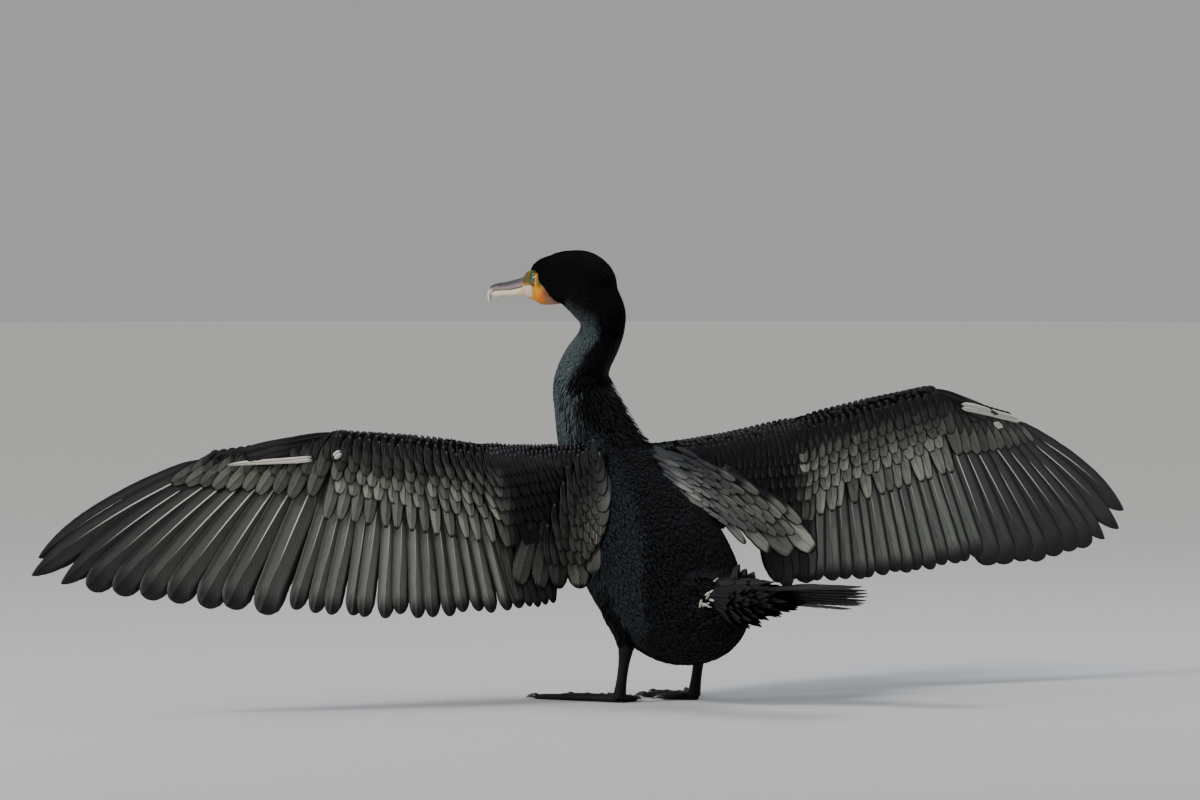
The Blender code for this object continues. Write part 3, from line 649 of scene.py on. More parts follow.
def down_skin_material(looks):
    """Skin hidden under black down: dull and dark, its own colour and also painted shade in the gaps between
    feathers.
    """
    material, tree, shader = new_material("down_covered_skin", Roughness=0.85, IOR=1.45)
    place = add_node(tree, "ShaderNodeTexCoord").outputs["Object"]
    # Down lies in wisps about 2 mm across
    wisps = add_node(tree, "ShaderNodeTexNoise", None, {
        "Vector": place, "Scale": 500.0, "Detail": 4.0, "Roughness": 0.7}).outputs[0]
    colour = ramp(tree, wisps, [(0.3, linear("#050506")), (0.8, linear("#121316"))])
    tree.links.new(colour, shader.inputs["Base Color"])
    bump = add_node(tree, "ShaderNodeBump", None,
                    {"Strength": 0.6, "Distance": 0.0008, "Height": wisps}).outputs[0]
    tree.links.new(bump, shader.inputs["Normal"])
    return material


def bare_skin_material():
    """Thin, warm, finely creased skin; light enters it a little, so it glows."""
    material, tree, shader = new_material(
        "bare_face_skin", Roughness=0.48, IOR=1.4, Specular_IOR_Level=0.3, Subsurface_Weight=0.25,
        Subsurface_Scale=0.0012)
    hue = add_node(tree, "ShaderNodeAttribute", {"attribute_name": "face"}).outputs["Color"]
    place = add_node(tree, "ShaderNodeTexCoord").outputs["Object"]
    # Papillae about 0.6 mm apart, drawn at 0.9 mm so that they show
    pores = add_node(tree, "ShaderNodeTexVoronoi", {"feature": "F1"}, {
        "Vector": place, "Scale": 1100.0, "Randomness": 0.8}).outputs["Distance"]
    creases = add_node(tree, "ShaderNodeTexNoise", None, {
        "Vector": place, "Scale": 700.0, "Detail": 5.0, "Roughness": 0.65}).outputs[0]
    # Skin painted darker in the creases and lighter on their crests: painted shade and light
    shade = ramp(tree, creases, [(0.3, (0.72, 0.68, 0.62)), (0.7, (1.12, 1.1, 1.08))])
    colour = mixed(tree, 1.0, hue, shade, "MULTIPLY")
    tree.links.new(colour, shader.inputs["Base Color"])
    height = calculated(tree, "ADD", calculated(tree, "MULTIPLY", pores, -0.6), creases)
    bump = add_node(tree, "ShaderNodeBump", None,
                    {"Strength": 0.55, "Distance": 0.0004, "Height": height}).outputs[0]
    tree.links.new(bump, shader.inputs["Normal"])
    return material


def bill_horn_material():
    """Grown horn in long plates: satin, faintly streaked lengthwise, paler where it is thin."""
    material, tree, shader = new_material("bill_horn", Roughness=0.33, IOR=1.55)
    shader.inputs["Coat Weight"].default_value = 0.25
    shader.inputs["Coat Roughness"].default_value = 0.2
    hue = add_node(tree, "ShaderNodeAttribute", {"attribute_name": "horn"}).outputs["Color"]
    place = add_node(tree, "ShaderNodeTexCoord").outputs["Object"]
    turned = add_node(tree, "ShaderNodeMapping", None, {
        "Vector": place, "Rotation": (0.0, 0.0, HEAD_YAW), "Scale": (1400.0, 160.0, 1400.0)})
    grain = add_node(tree, "ShaderNodeTexNoise", None, {
        "Vector": turned.outputs[0], "Scale": 1.0, "Detail": 4.0, "Roughness": 0.6}).outputs[0]
    shade = ramp(tree, grain, [(0.3, (0.7, 0.68, 0.68)), (0.75, (1.15, 1.14, 1.12))])
    colour = mixed(tree, 1.0, hue, shade, "MULTIPLY")
    tree.links.new(colour, shader.inputs["Base Color"])
    bump = add_node(tree, "ShaderNodeBump", None,
                    {"Strength": 0.35, "Distance": 0.0003, "Height": grain}).outputs[0]
    tree.links.new(bump, shader.inputs["Normal"])
    return material


def eye_material():
    """Wet eyeball: a clear cornea over a jewel-green iris and a black pupil."""
    material, tree, shader = new_material("wet_eyeball", Roughness=0.25, IOR=1.376)
    shader.inputs["Coat Weight"].default_value = 1.0
    shader.inputs["Coat Roughness"].default_value = 0.03
    hue = add_node(tree, "ShaderNodeAttribute", {"attribute_name": "iris"}).outputs["Color"]
    tree.links.new(hue, shader.inputs["Base Color"])
    return material


def foot_skin_material():
    """Black leathery foot skin: scutes 3 mm long on the toes and fine net scales on the webs."""
    material, tree, shader = new_material("black_foot_skin", Roughness=0.55, IOR=1.45,
                                          Specular_IOR_Level=0.18)
    web = feather_value(tree, "web")
    run = feather_value(tree, "run")
    place = add_node(tree, "ShaderNodeTexCoord").outputs["Object"]
    scutes = calculated(tree, "PINGPONG", calculated(tree, "MULTIPLY", run, 0.36), 0.5)
    scutes = ramp(tree, scutes, [(0.0, (0, 0, 0)), (0.16, (1, 1, 1))], "EASE")
    net = add_node(tree, "ShaderNodeTexVoronoi", {"feature": "DISTANCE_TO_EDGE"}, {
        "Vector": place, "Scale": 620.0}).outputs["Distance"]
    net = ramp(tree, net, [(0.0, (0, 0, 0)), (0.16, (1, 1, 1))], "EASE")
    height = mixed(tree, web, scutes, net)
    height = mixed(tree, 0.3, height, net)
    tint = ramp(tree, height, [(0.0, linear("#020202")), (1.0, linear("#0c0b0c"))])
    colour = mixed(tree, calculated(tree, "MULTIPLY", web, 0.5), tint, linear("#0a0908"))
    tree.links.new(colour, shader.inputs["Base Color"])
    bump = add_node(tree, "ShaderNodeBump", None,
                    {"Strength": 0.7, "Distance": 0.0005, "Height": height}).outputs[0]
    tree.links.new(bump, shader.inputs["Normal"])
    return material


def claw_horn_material():
    """Dark claw horn, polished by use and paler towards the point."""
    material, tree, shader = new_material("claw_horn", Roughness=0.3, IOR=1.55)
    run = feather_value(tree, "run")
    place = add_node(tree, "ShaderNodeTexCoord").outputs["Object"]
    grain = add_node(tree, "ShaderNodeTexNoise", None, {
        "Vector": place, "Scale": 900.0, "Detail": 3.0}).outputs[0]
    level = calculated(tree, "ADD", run, calculated(tree, "MULTIPLY", grain, 0.2))
    colour = ramp(tree, level, [(0.2, linear("#0e0d0d")), (1.1, linear("#4a443d"))])
    tree.links.new(colour, shader.inputs["Base Color"])
    bump = add_node(tree, "ShaderNodeBump", None,
                    {"Strength": 0.3, "Distance": 0.0002, "Height": grain}).outputs[0]
    tree.links.new(bump, shader.inputs["Normal"])
    return material


def studio_floor_material(looks):
    """Matt painted board: pale and even, with a soft grain of its own."""
    material, tree, shader = new_material("matt_painted_floor", Roughness=0.75, IOR=1.45)
    place = add_node(tree, "ShaderNodeTexCoord").outputs["Object"]
    grain = add_node(tree, "ShaderNodeTexNoise", None, {
        "Vector": place, "Scale": 40.0, "Detail": 3.0}).outputs[0]
    shade = ramp(tree, grain, [(0.3, (0.97, 0.97, 0.97)), (0.7, (1.0, 1.0, 1.0))])
    colour = mixed(tree, 1.0, tuple(looks.floor_colour), shade, "MULTIPLY")
    tree.links.new(colour, shader.inputs["Base Color"])
    return material


# ---- feathers as closed vanes
def stations(count):
    """Return places along a feather, closer together towards its rounded tip."""
    return 1 - (1 - np.linspace(0, 1, count)) ** 1.6


def outline(form, t):
    """Return the share of the full half width at places along a vane."""
    start, end, base, blunt = {
        "flight": (0.16, 0.885, 0.22, 0.5),
        "tapered": (0.16, 0.68, 0.22, 0.72),
        "pointed": (0.3, 0.62, 0.25, 0.9),
        "round": (0.42, 0.62, 0.3, 0.5),
        "broad": (0.3, 0.8, 0.35, 0.5),
        "tail": (0.3, 0.8, 0.3, 0.75),
    }[form]
    rise = base + (1 - base) * np.sin(np.clip(t / start, 0, 1) * np.pi / 2) ** 0.8
    past = np.clip((t - end) / (1 - end), 0, 1)
    return rise * np.maximum(1 - past ** 2, 0) ** blunt


class Plumes:
    """Collects large feathers and makes them one object with its maps and values."""

    ACROSS = (-1.0, -0.62, -0.2, 0.0, 0.2, 0.62, 1.0)
    UNDER = (0.55, 0.0, -0.55)

    def __init__(self, seed):
        self.random = np.random.default_rng(seed)
        self.points, self.faces, self.kinds = [], [], []
        self.vane, self.values, self.feathers = [], [], []
        self.count = 0

    def add(self, centres, acrosses, normals, inner, outer, form, shaft=0.7, thick=0.5,
            camber=0.1, ragged=0.05, **values):
        """Add one feather; inner and outer are its half widths in millimetres."""
        rings = len(centres)
        t = stations(rings)
        shape = np.maximum(outline(form, t), 0.02)
        torn = 1 - ragged * self.random.random((rings, 2)) ** 2 * np.clip(t * 3, 0, 1)[:, None]
        shaft_half = np.maximum(shaft * (1 - 0.8 * t), 0.12)
        rows = []
        for k in range(rings):
            low, high = inner * shape[k] * torn[k, 0], outer * shape[k] * torn[k, 1]
            ridge = min(shaft_half[k], 0.4 * min(low, high) + 0.02)
            body = thick * (0.4 + 0.6 * (1 - t[k]))
            row, marks = [], []
            for u in self.ACROSS:
                side = low if u < 0 else high
                reach = ridge if abs(u) == 0.2 else abs(u) * side
                lift = body / 2 + (ridge * 0.7 if u == 0 else 0) - camber * reach * abs(u)
                row.append(centres[k] + acrosses[k] * (math.copysign(reach, u) if u else 0)
                           + normals[k] * lift)
                marks.append(u if abs(u) != 0.2 else math.copysign(reach / max(side, 0.1), u))
            for u in self.UNDER:
                side = low if u < 0 else high
                lift = -body / 2 - camber * abs(u) * side * abs(u) - (ridge * 0.5 if u == 0 else 0)
                row.append(centres[k] + acrosses[k] * (u * side) + normals[k] * lift)
                marks.append(u)
            rows.append(row)
            self.vane += [(0.5 + u / 2, t[k]) for u in marks]
        base = self.count
        sides = len(self.ACROSS) + len(self.UNDER)
        for row in rows:
            self.points += row
        for k in range(rings - 1):
            for i in range(sides):
                j = (i + 1) % sides
                first, second = base + k * sides, base + (k + 1) * sides
                self.faces.append((first + i, first + j, second + j, second + i))
                self.kinds.append(1 if i in (2, 3) else 0)
        for k, order in ((0, -1), (rings - 1, 1)):
            self.faces.append(tuple(base + k * sides + i for i in range(sides))[::order])
            self.kinds.append(0)
        self.count += rings * sides
        settings = dict(tone=self.random.random(), bronze=1.0, pale=0.0, gleam=0.0)
        settings.update(values)
        self.values.append((rings * sides, settings))
        self.feathers.append(rings * sides)

    def make(self, name, materials, nodes=()):
        item = mesh_from(name, np.array(self.points), self.faces, materials, self.kinds)
        data = item.data
        loops = np.empty(len(data.loops), np.int32)
        data.loops.foreach_get("vertex_index", loops)
        vane = np.array(self.vane)
        data.uv_layers.new(name="Vane").data.foreach_set("uv", vane[loops].ravel())
        # Each feather has a cell of its own, side by side, in the map that is kept for baking
        total = len(self.feathers)
        columns = math.ceil(math.sqrt(total))
        owner = np.repeat(np.arange(total), self.feathers)
        cells = np.stack([owner % columns, owner // columns], -1)
        flat = (cells + 0.08 + 0.84 * vane) / columns
        bake = data.uv_layers.new(name="OFBake")
        bake.data.foreach_set("uv", flat[loops].ravel())
        for key in self.values[0][1]:
            set_values(item, key, np.concatenate(
                [np.full(count, settings[key]) for count, settings in self.values]))
        place_piece(item, nodes)
        return item


def wing_fan(wing, place):
    """Return the angle of the feathers, from trailing towards the wing tip, at a place."""
    first, last, power = wing["primary_fan"]
    if place >= 2.06:
        return first + (last - first) * min((place - 2.06) / 0.9, 1) ** power
    table = [(0.2, wing["scapular_fan"][0]), (0.9, wing["scapular_fan"][1]),
             (1.04, wing["secondary_fan"][1]), (1.96, wing["secondary_fan"][0]), (2.06, first)]
    return blend(table, place)[0]


def flesh_top(place, back, under=False):
    """Return the height of the flesh over the bone's line, that far behind the bone."""
    ahead, behind, thick = blend(WING_FLESH, place)
    if back < 0:
        share = math.sqrt(max(1 - (back / (ahead + 0.5)) ** 2, 0))
    else:
        share = max(1 - 0.75 * back / (behind + 6), 0.0)
    return (-1 if under else 1) * thick * share


def wing_feather(plumes, wing, place, back, length, inner, outer, heights, step, pitch, form,
                 rings, fan=None, bow=0.0, curl=0.0, **looks):
    """Add one feather of a wing.

    heights are over the bone's line at root and tip, step is how far each feather rises over
    its neighbour and pitch is their distance; curl bends the tip down by that many millimetres.
    """
    point, outward, trailing, dorsal = wing_frame(wing, place)
    angle = math.radians(wing_fan(wing, place) if fan is None else fan)
    along = trailing * math.cos(angle) + outward * math.sin(angle)
    across = outward * math.cos(angle) - trailing * math.sin(angle)
    t = stations(rings)
    roll = math.asin(min(step * wing["rise"] / pitch, 0.35))
    height = heights[0] + (heights[1] - heights[0]) * t - curl * t ** 2.5
    centres = (point + trailing * back + np.outer(length * t, along)
               + np.outer(height, dorsal) + np.outer(4 * bow * t * (1 - t), across))
    acrosses = np.tile(across * math.cos(roll) + dorsal * math.sin(roll), (rings, 1))
    normals = np.tile(dorsal * math.cos(roll) - across * math.sin(roll), (rings, 1))
    plumes.add(centres, acrosses, normals, inner, outer, form, **looks)


def primary_length(wing, share):
    """Return the length of a primary; share runs from the wrist, 0, to the outermost, 1."""
    return wing["outermost"] if share > 0.999 else 184 + 46 * (share * 9 / 8) ** 1.3


def flight_feathers(plumes, wing):
    """Add primaries, secondaries and the feathers of the thumb."""
    random = plumes.random
    # Each feather's gleam sets the painted highlight on its shaft
    for i in range(PRIMARIES):
        share = i / (PRIMARIES - 1)
        place = 2.06 + 0.9 * share
        angle = wing_fan(wing, place) + random.normal(0, 0.5)
        wing_feather(plumes, wing, place, 4, primary_length(wing, share), 21 - 3 * share,
                     13 - 4 * share, (0, -1), 1.45, 13, "tapered" if i > 6 else "flight", 44,
                     fan=angle, bow=2 + 0.9 * i, curl=2.0, shaft=0.9, thick=0.6, ragged=0.04,
                     camber=0.07, bronze=0.36 - 0.22 * share, gleam=1.0 - 0.2 * share)
    for i in range(SECONDARIES):
        share = i / (SECONDARIES - 1)
        place = 1.96 - 0.92 * share
        angle = wing_fan(wing, place) + random.normal(0, 0.6)
        length = 173 - 33 * share + random.normal(0, 1.5)
        wing_feather(plumes, wing, place, 4, length, 12.5, 9.5, (0, -1), 1.45, 10.5, "flight", 36,
                     fan=angle, curl=2.5, shaft=0.75, thick=0.55, ragged=0.04, camber=0.08,
                     bronze=0.95 - 0.25 * random.random(), gleam=0.6)


def wing_coverts(plumes, wing):
    """Add the rows of coverts over the hand and forearm, a streak of near-white small feathers and the thumb's.
    """
    random = plumes.random
    # Rows: (first place, last place, count, distance of the tips behind the bone, length,
    # half width, height of the tips over the rows beneath)
    rows = [
        (1.97, 1.03, 13, 80, 74, 8.4, 6.0),
        (1.985, 1.0, 13, 57, 46, 8.6, 9.5),
        (1.99, 0.97, 14, 45, 36, 8.2, 11.5),
        (2.0, 0.94, 15, 34, 32, 7.6, 13.0),
        (2.01, 0.9, 17, 24, 28, 6.8, 13.8),
        (2.01, 0.88, 20, 14, 24, 5.8, 12.8),
        (2.02, 0.86, 24, 4, 20, 4.8, 11.0),
        (2.02, 0.84, 29, -4, 16, 4.0, 9.4),
    ]
    for k, (first, last, count, tip, length, half, height) in enumerate(rows):
        for i in range(count):
            share = (i + 0.5 * (k % 2)) / count
            place = first + (last - first) * share
            scale = 1 - 0.18 * max(place - 1.5, 0) * 2 if k else 1.0
            long = length * (1 + random.normal(0, 0.035))
            back = (tip - long * math.cos(math.radians(wing_fan(wing, place)))) * scale
            ahead = blend(WING_FLESH, place)[0]
            back = max(back, -ahead + 1)
            root = max(flesh_top(place, back) - 1.5, 2.0)
            top = height * (0.72 + 0.28 * (2 - place)) if k else height
            angle = wing_fan(wing, place) * (1 - 0.05 * k) + random.normal(0, 2.0)
            # The wing's light factor raises the bronze on the right wing: painted light
            wing_feather(plumes, wing, place, back, long, half, half * 0.9, (root, top), 1.1,
                         152 / count, "round", 14, fan=angle, curl=0.7, shaft=0.5,
                         thick=0.38, camber=0.06, ragged=0.06,
                         bronze=(0.85, 1, 0.85, 0.55, 0.28, 0.08, 0, 0)[k]
                         * (1 - (0, 0, 0.35, 0.7, 0.9, 1, 1, 1)[k] * min(max(place - 1.1, 0), 1))
                         * wing["light"] * random.uniform(0.7, 1.05))
    hand = [
        (2.06, 2.93, 10, 2, 66, 10.5, 6.3),
        (2.05, 2.9, 10, 0, 44, 9.5, 8.3),
        (2.04, 2.9, 12, -2, 27, 7.0, 8.8),
        (2.03, 2.9, 15, -4, 18, 5.4, 7.8),
    ]
    for k, (first, last, count, back, length, half, height) in enumerate(hand):
        for i in range(count):
            share = i / (count - 1)
            place = first + (last - first) * share
            thin = 1 - 0.55 * share
            long = length * (1 - 0.18 * share) * (1 + random.normal(0, 0.03))
            root = max(flesh_top(place, back) - 1.2, 1.5)
            wing_feather(plumes, wing, place, back, long, half * (0.75 + 0.25 * thin),
                         half * (0.75 + 0.25 * thin) * 0.8,
                         (root, max(height * thin, 2.5 + k)), 1.1, 130 / count,
                         "round", 14, bow=1.5, curl=0.6, shaft=0.5, thick=0.38, camber=0.06,
                         bronze=(0.45, 0.25, 0.08, 0)[k])
    # Small feathers coloured near-white lie in a streak along the hand, with a spot near its end
    first, last, height = wing["streak"]
    for share in np.linspace(0, 1, 17):
        place, back, half = np.array(first) + (np.array(last) - first) * share
        for shift in (-0.45, 0.45):
            wing_feather(plumes, wing, place, back + shift * 2 * half, 24, half, half,
                         (height, height + 0.6), 0.25, 6, "pointed", 12, fan=86, shaft=0.3,
                         thick=0.5, pale=1.0, bronze=0, tone=0.9)
    for place, back in wing["spots"]:
        wing_feather(plumes, wing, place, back, 10, 2.0, 2.0, (height, height + 1.5), 0.5, 7,
                     "pointed", 12, fan=60, shaft=0.3, thick=0.5, pale=1.0, bronze=0, tone=0.9)
    for i in range(3):
        wing_feather(plumes, wing, 2.04 + 0.03 * i, 2.5 * i - 4,
                     wing["thumb_length"] - 15 * i, 5.5, 4.5, (5 - i * 0.8, wing["thumb_height"] - i), 1.3,
                     7,
                     "pointed" if i == 0 else "flight", 18, fan=wing["thumb_fan"] - 3 * i,
                     shaft=0.6, thick=0.5, bronze=0.12, camber=0.08)


class Drape:
    """A smooth sheet laid over back and upper arm, on which the shoulder feathers rest.

    Its places are (out, behind) in the plane of the arm, and it is laid on from behind.
    """

    STEP = 4.0
    LOW = np.array((-48.0, -36.0))
    SHAPE = (56, 50)
    REACH = 200

    def __init__(self, surface, wing):
        self.shoulder = np.array(wing["joints"][0], float)
        _, self.outward, self.trailing, dorsal = wing_frame(wing, 0.25)
        out, behind = (self.LOW[k] + self.STEP * axis for k, axis in enumerate(
            np.meshgrid(*(np.arange(n) for n in self.SHAPE), indexing="ij")))
        # Off the skin it comes down from the arm's coverts to the plane of the wing
        clear = 16 - 11.5 * np.clip((behind - 15) / 100, 0, 1)
        floor = clear / (dorsal @ LAID_FROM)
        starts = self.flat(out, behind) + LAID_FROM * self.REACH
        for index in np.ndindex(self.SHAPE):
            hit = surface.ray_cast(Vector(to_model(starts[index])), Vector(-LAID_FROM), 0.27)
            if hit[0] is not None:
                floor[index] = max(floor[index], self.REACH - hit[3] / MM + 2.5)
        self.heights = floor
        for turn in range(90):
            edge = np.pad(self.heights, 1, mode="edge")
            mean = (edge[:-2, 1:-1] + edge[2:, 1:-1] + edge[1:-1, :-2] + edge[1:-1, 2:]) / 4
            self.heights = np.maximum(floor, mean) if turn < 86 else mean

    def flat(self, out, behind):
        return (self.shoulder + np.multiply.outer(out, self.outward)
                + np.multiply.outer(behind, self.trailing))

    def point(self, out, behind):
        u, v = (np.clip((value - self.LOW[k]) / self.STEP, 0, self.SHAPE[k] - 1.001)
                for k, value in enumerate((out, behind)))
        i, j = u.astype(int), v.astype(int)
        u, v = u - i, v - j
        table = self.heights
        height = ((table[i, j] * (1 - u) + table[i + 1, j] * u) * (1 - v)
                  + (table[i, j + 1] * (1 - u) + table[i + 1, j + 1] * u) * v)
        return self.flat(out, behind) + np.multiply.outer(height, LAID_FROM)

    def normal(self, out, behind):
        wide = self.point(out + 4, behind) - self.point(out - 4, behind)
        long = self.point(out, behind + 4) - self.point(out, behind - 4)
        normals = unit(np.cross(wide, long))
        return normals * np.sign(normals @ LAID_FROM)[:, None]


def draped_feather(plumes, drape, tip, fan, length, half, lifts, roll, form, rings, **looks):
    """Add a feather that rests on the sheet; lifts are over it, at root and tip."""
    angle = math.radians(fan)
    t = stations(rings)
    out = tip[0] - math.sin(angle) * length * (1 - t)
    behind = tip[1] - math.cos(angle) * length * (1 - t)
    normals = drape.normal(out, behind)
    centres = drape.point(out, behind)
    centres = centres + normals * (lifts[0] + (lifts[1] - lifts[0]) * t)[:, None]
    alongs = unit(np.gradient(centres, axis=0))
    acrosses = unit(np.cross(alongs, normals))
    acrosses = acrosses * np.sign(acrosses @ drape.outward)[:, None]
    normals = unit(np.cross(acrosses, alongs))
    normals = normals * np.sign(normals @ LAID_FROM)[:, None]
    acrosses, normals = (acrosses * math.cos(roll) + normals * math.sin(roll),
                         normals * math.cos(roll) - acrosses * math.sin(roll))
    plumes.add(centres, acrosses, normals, half, half * 0.92, form, **looks)


def shoulder_feathers(plumes, wing, tract, surface):
    """Add the shoulder's feathers: long broad ones below, and rows of scales over them."""
    random = plumes.random
    drape = Drape(surface, wing)
    # The tract's light shares paint the right shoulder lit and the left one shaded
    for out, behind, fan, length, half in tract["long"]:
        draped_feather(plumes, drape, (out, behind), fan, length, half, (-2.5, 0.2), 0.06,
                       "broad", 30, shaft=0.7, thick=0.5, camber=0.06, ragged=0.06,
                       bronze=tract["light"][1] * random.uniform(0.85, 1.05))
    edge = np.array(tract["edge"], float)
    focus = np.array(tract["focus"], float)
    steps = np.concatenate([[0], np.cumsum(np.linalg.norm(np.diff(edge, axis=0), axis=1))])
    low_fan, high_fan, half = tract["scales"]
    for row, reach in enumerate((0.87, 0.77, 0.68, 0.6, 0.52, 0.45, 0.385, 0.325, 0.27, 0.22)):
        wide = half * (1 - 0.04 * row)
        count = max(int(round(steps[-1] * reach / (wide * 1.62))), 2)
        fade = (0.95, 1, 1, 0.9, 0.75, 0.55, 0.35, 0.2, 0.08, 0)[row]
        for i in range(count):
            share = (i + 0.25 + 0.5 * (row % 2)) / count
            place = np.array([np.interp(share * steps[-1], steps, edge[:, k]) for k in (0, 1)])
            tip = focus + (place - focus) * reach + random.normal(0, 1.2, 2)
            fan = low_fan + (high_fan - low_fan) * (1 - reach) + random.normal(0, 2.5)
            draped_feather(plumes, drape, tip, fan, 42 - 2 * row, wide, (0.4, 3.6), 0.1,
                           "round", 15, shaft=0.45, thick=0.4, camber=0.07, ragged=0.06,
                           bronze=fade * tract["light"][0] * random.uniform(0.8, 1.2))


def arm_feathers(plumes, wing):
    """Add the long feathers inside the elbow and the coverts of the upper arm, kept dark as painted shade."""
    random = plumes.random
    # Little bronze on the long feathers inside the elbow: painted shade
    for i in range(6):
        place = 0.99 - 0.085 * i
        wing_feather(plumes, wing, place, 6, 134 + random.normal(0, 2), 12, 10, (0, -1), 1.4, 11,
                     "broad", 30, curl=2.0, shaft=0.7, thick=0.5, camber=0.06, ragged=0.08,
                     bronze=0.1 + 0.12 * (i == 0))
    rows = [(14, 82, 66, 9.5, 6.0), (15, 62, 48, 8.5, 9.0), (16, 48, 38, 7.6, 11.0),
            (17, 36, 32, 7.0, 12.5), (19, 25, 27, 6.3, 13.0), (21, 15, 22, 5.4, 13.0),
            (24, 6, 18, 4.6, 12.0), (27, -2, 14, 3.8, 10.6)]
    for k, (count, tip, length, half, height) in enumerate(rows):
        for i in range(count):
            place = 0.98 - 0.93 * (i + 0.5 * (k % 2)) / count
            angle = wing_fan(wing, max(place, 0.2)) + random.normal(0, 2)
            long = length * (1 + random.normal(0, 0.03))
            back = max(tip - long * math.cos(math.radians(angle)),
                       1.5 - blend(WING_FLESH, place)[0])
            root = max(flesh_top(place, back) - 1.5, 2.0)
            # Bronze only near the elbow; towards the shoulder the coverts stay black as painted shade
            elbow = max((place - 0.8) / 0.2, 0) ** 2
            wing_feather(plumes, wing, place, back, long, half, half * 0.9, (root, height), 1.0,
                         132 / count, "round", 13, fan=angle, curl=0.6, shaft=0.45, thick=0.35,
                         camber=0.06, ragged=0.06,
                         bronze=(0.8, 0.9, 0.7, 0.4, 0.1, 0, 0, 0)[k] * elbow * 0.8)


def under_coverts(plumes, wing):
    """Add the rows of coverts under the wing, down to the lining of the leading edge."""
    random = plumes.random
    rows = [(78, 72, 9, -3.2), (58, 50, 8.5, -6.5), (40, 36, 8, -9.0), (24, 28, 7, -10.5),
            (10, 24, 6, -10.5), (-3, 19, 5, -9.5)]
    for k, (tip, length, half, height) in enumerate(rows):
        count = 30 + 5 * k
        for i in range(count):
            place = 2.9 - 2.45 * (i + 0.5 * (k % 2)) / count
            thin = 1 if place < 1.9 else max(1 - 0.6 * (place - 1.9), 0.35)
            long = length * (0.55 + 0.45 * thin)
            angle = wing_fan(wing, place)
            ahead = blend(WING_FLESH, place)[0]
            back = max((tip * (0.5 + 0.5 * thin)) - long * math.cos(math.radians(angle)), 1 - ahead)
            root = min(flesh_top(place, back, True) + 1.5, -1.5)
            wing_feather(plumes, wing, place, back, long, half * (0.6 + 0.4 * thin),
                         half * (0.6 + 0.4 * thin), (root, height * (0.35 + 0.65 * thin)), 1.1,
                         370 / count, "round", 9, curl=-0.8, shaft=0.4, thick=0.45,
                         camber=-0.1, ragged=0.06, bronze=0.2 * random.random())


def tail_feathers(plumes):
    """Add the stiff tail feathers and the coverts over and under their bases."""
    root = np.array(TAIL_ROOT, float)
    backward, left, up = tail_frame()
    random = plumes.random
    half = (TAIL_FEATHERS - 1) / 2
    t = stations(34)
    for i in range(TAIL_FEATHERS):
        rank = (i - half) / half
        angle = rank * TAIL_SPREAD / 2
        along = backward * math.cos(angle) + left * math.sin(angle)
        side = left * math.cos(angle) - backward * math.sin(angle)
        level = TAIL_STEP * (half - abs(i - half) - 3)
        level += TAIL_STEP if i == TAIL_FEATHERS // 2 else 0
        start = root + backward * 14 + left * (rank * 11) + up * level
        length = TAIL_LENGTH * (0.76 + 0.24 * (1 - abs(rank)) ** 0.6) - 14
        sag = random.uniform(-1.0, 2.0) * t ** 2
        centres = start + np.outer(length * t, along) - np.outer(sag, up)
        plumes.add(centres, np.tile(side, (34, 1)), np.tile(up, (34, 1)), 7.0, 7.0, "tail",
                   shaft=0.8, thick=0.5, camber=0.08, ragged=0.2, bronze=0.0,
                   tone=0.3 * random.random())


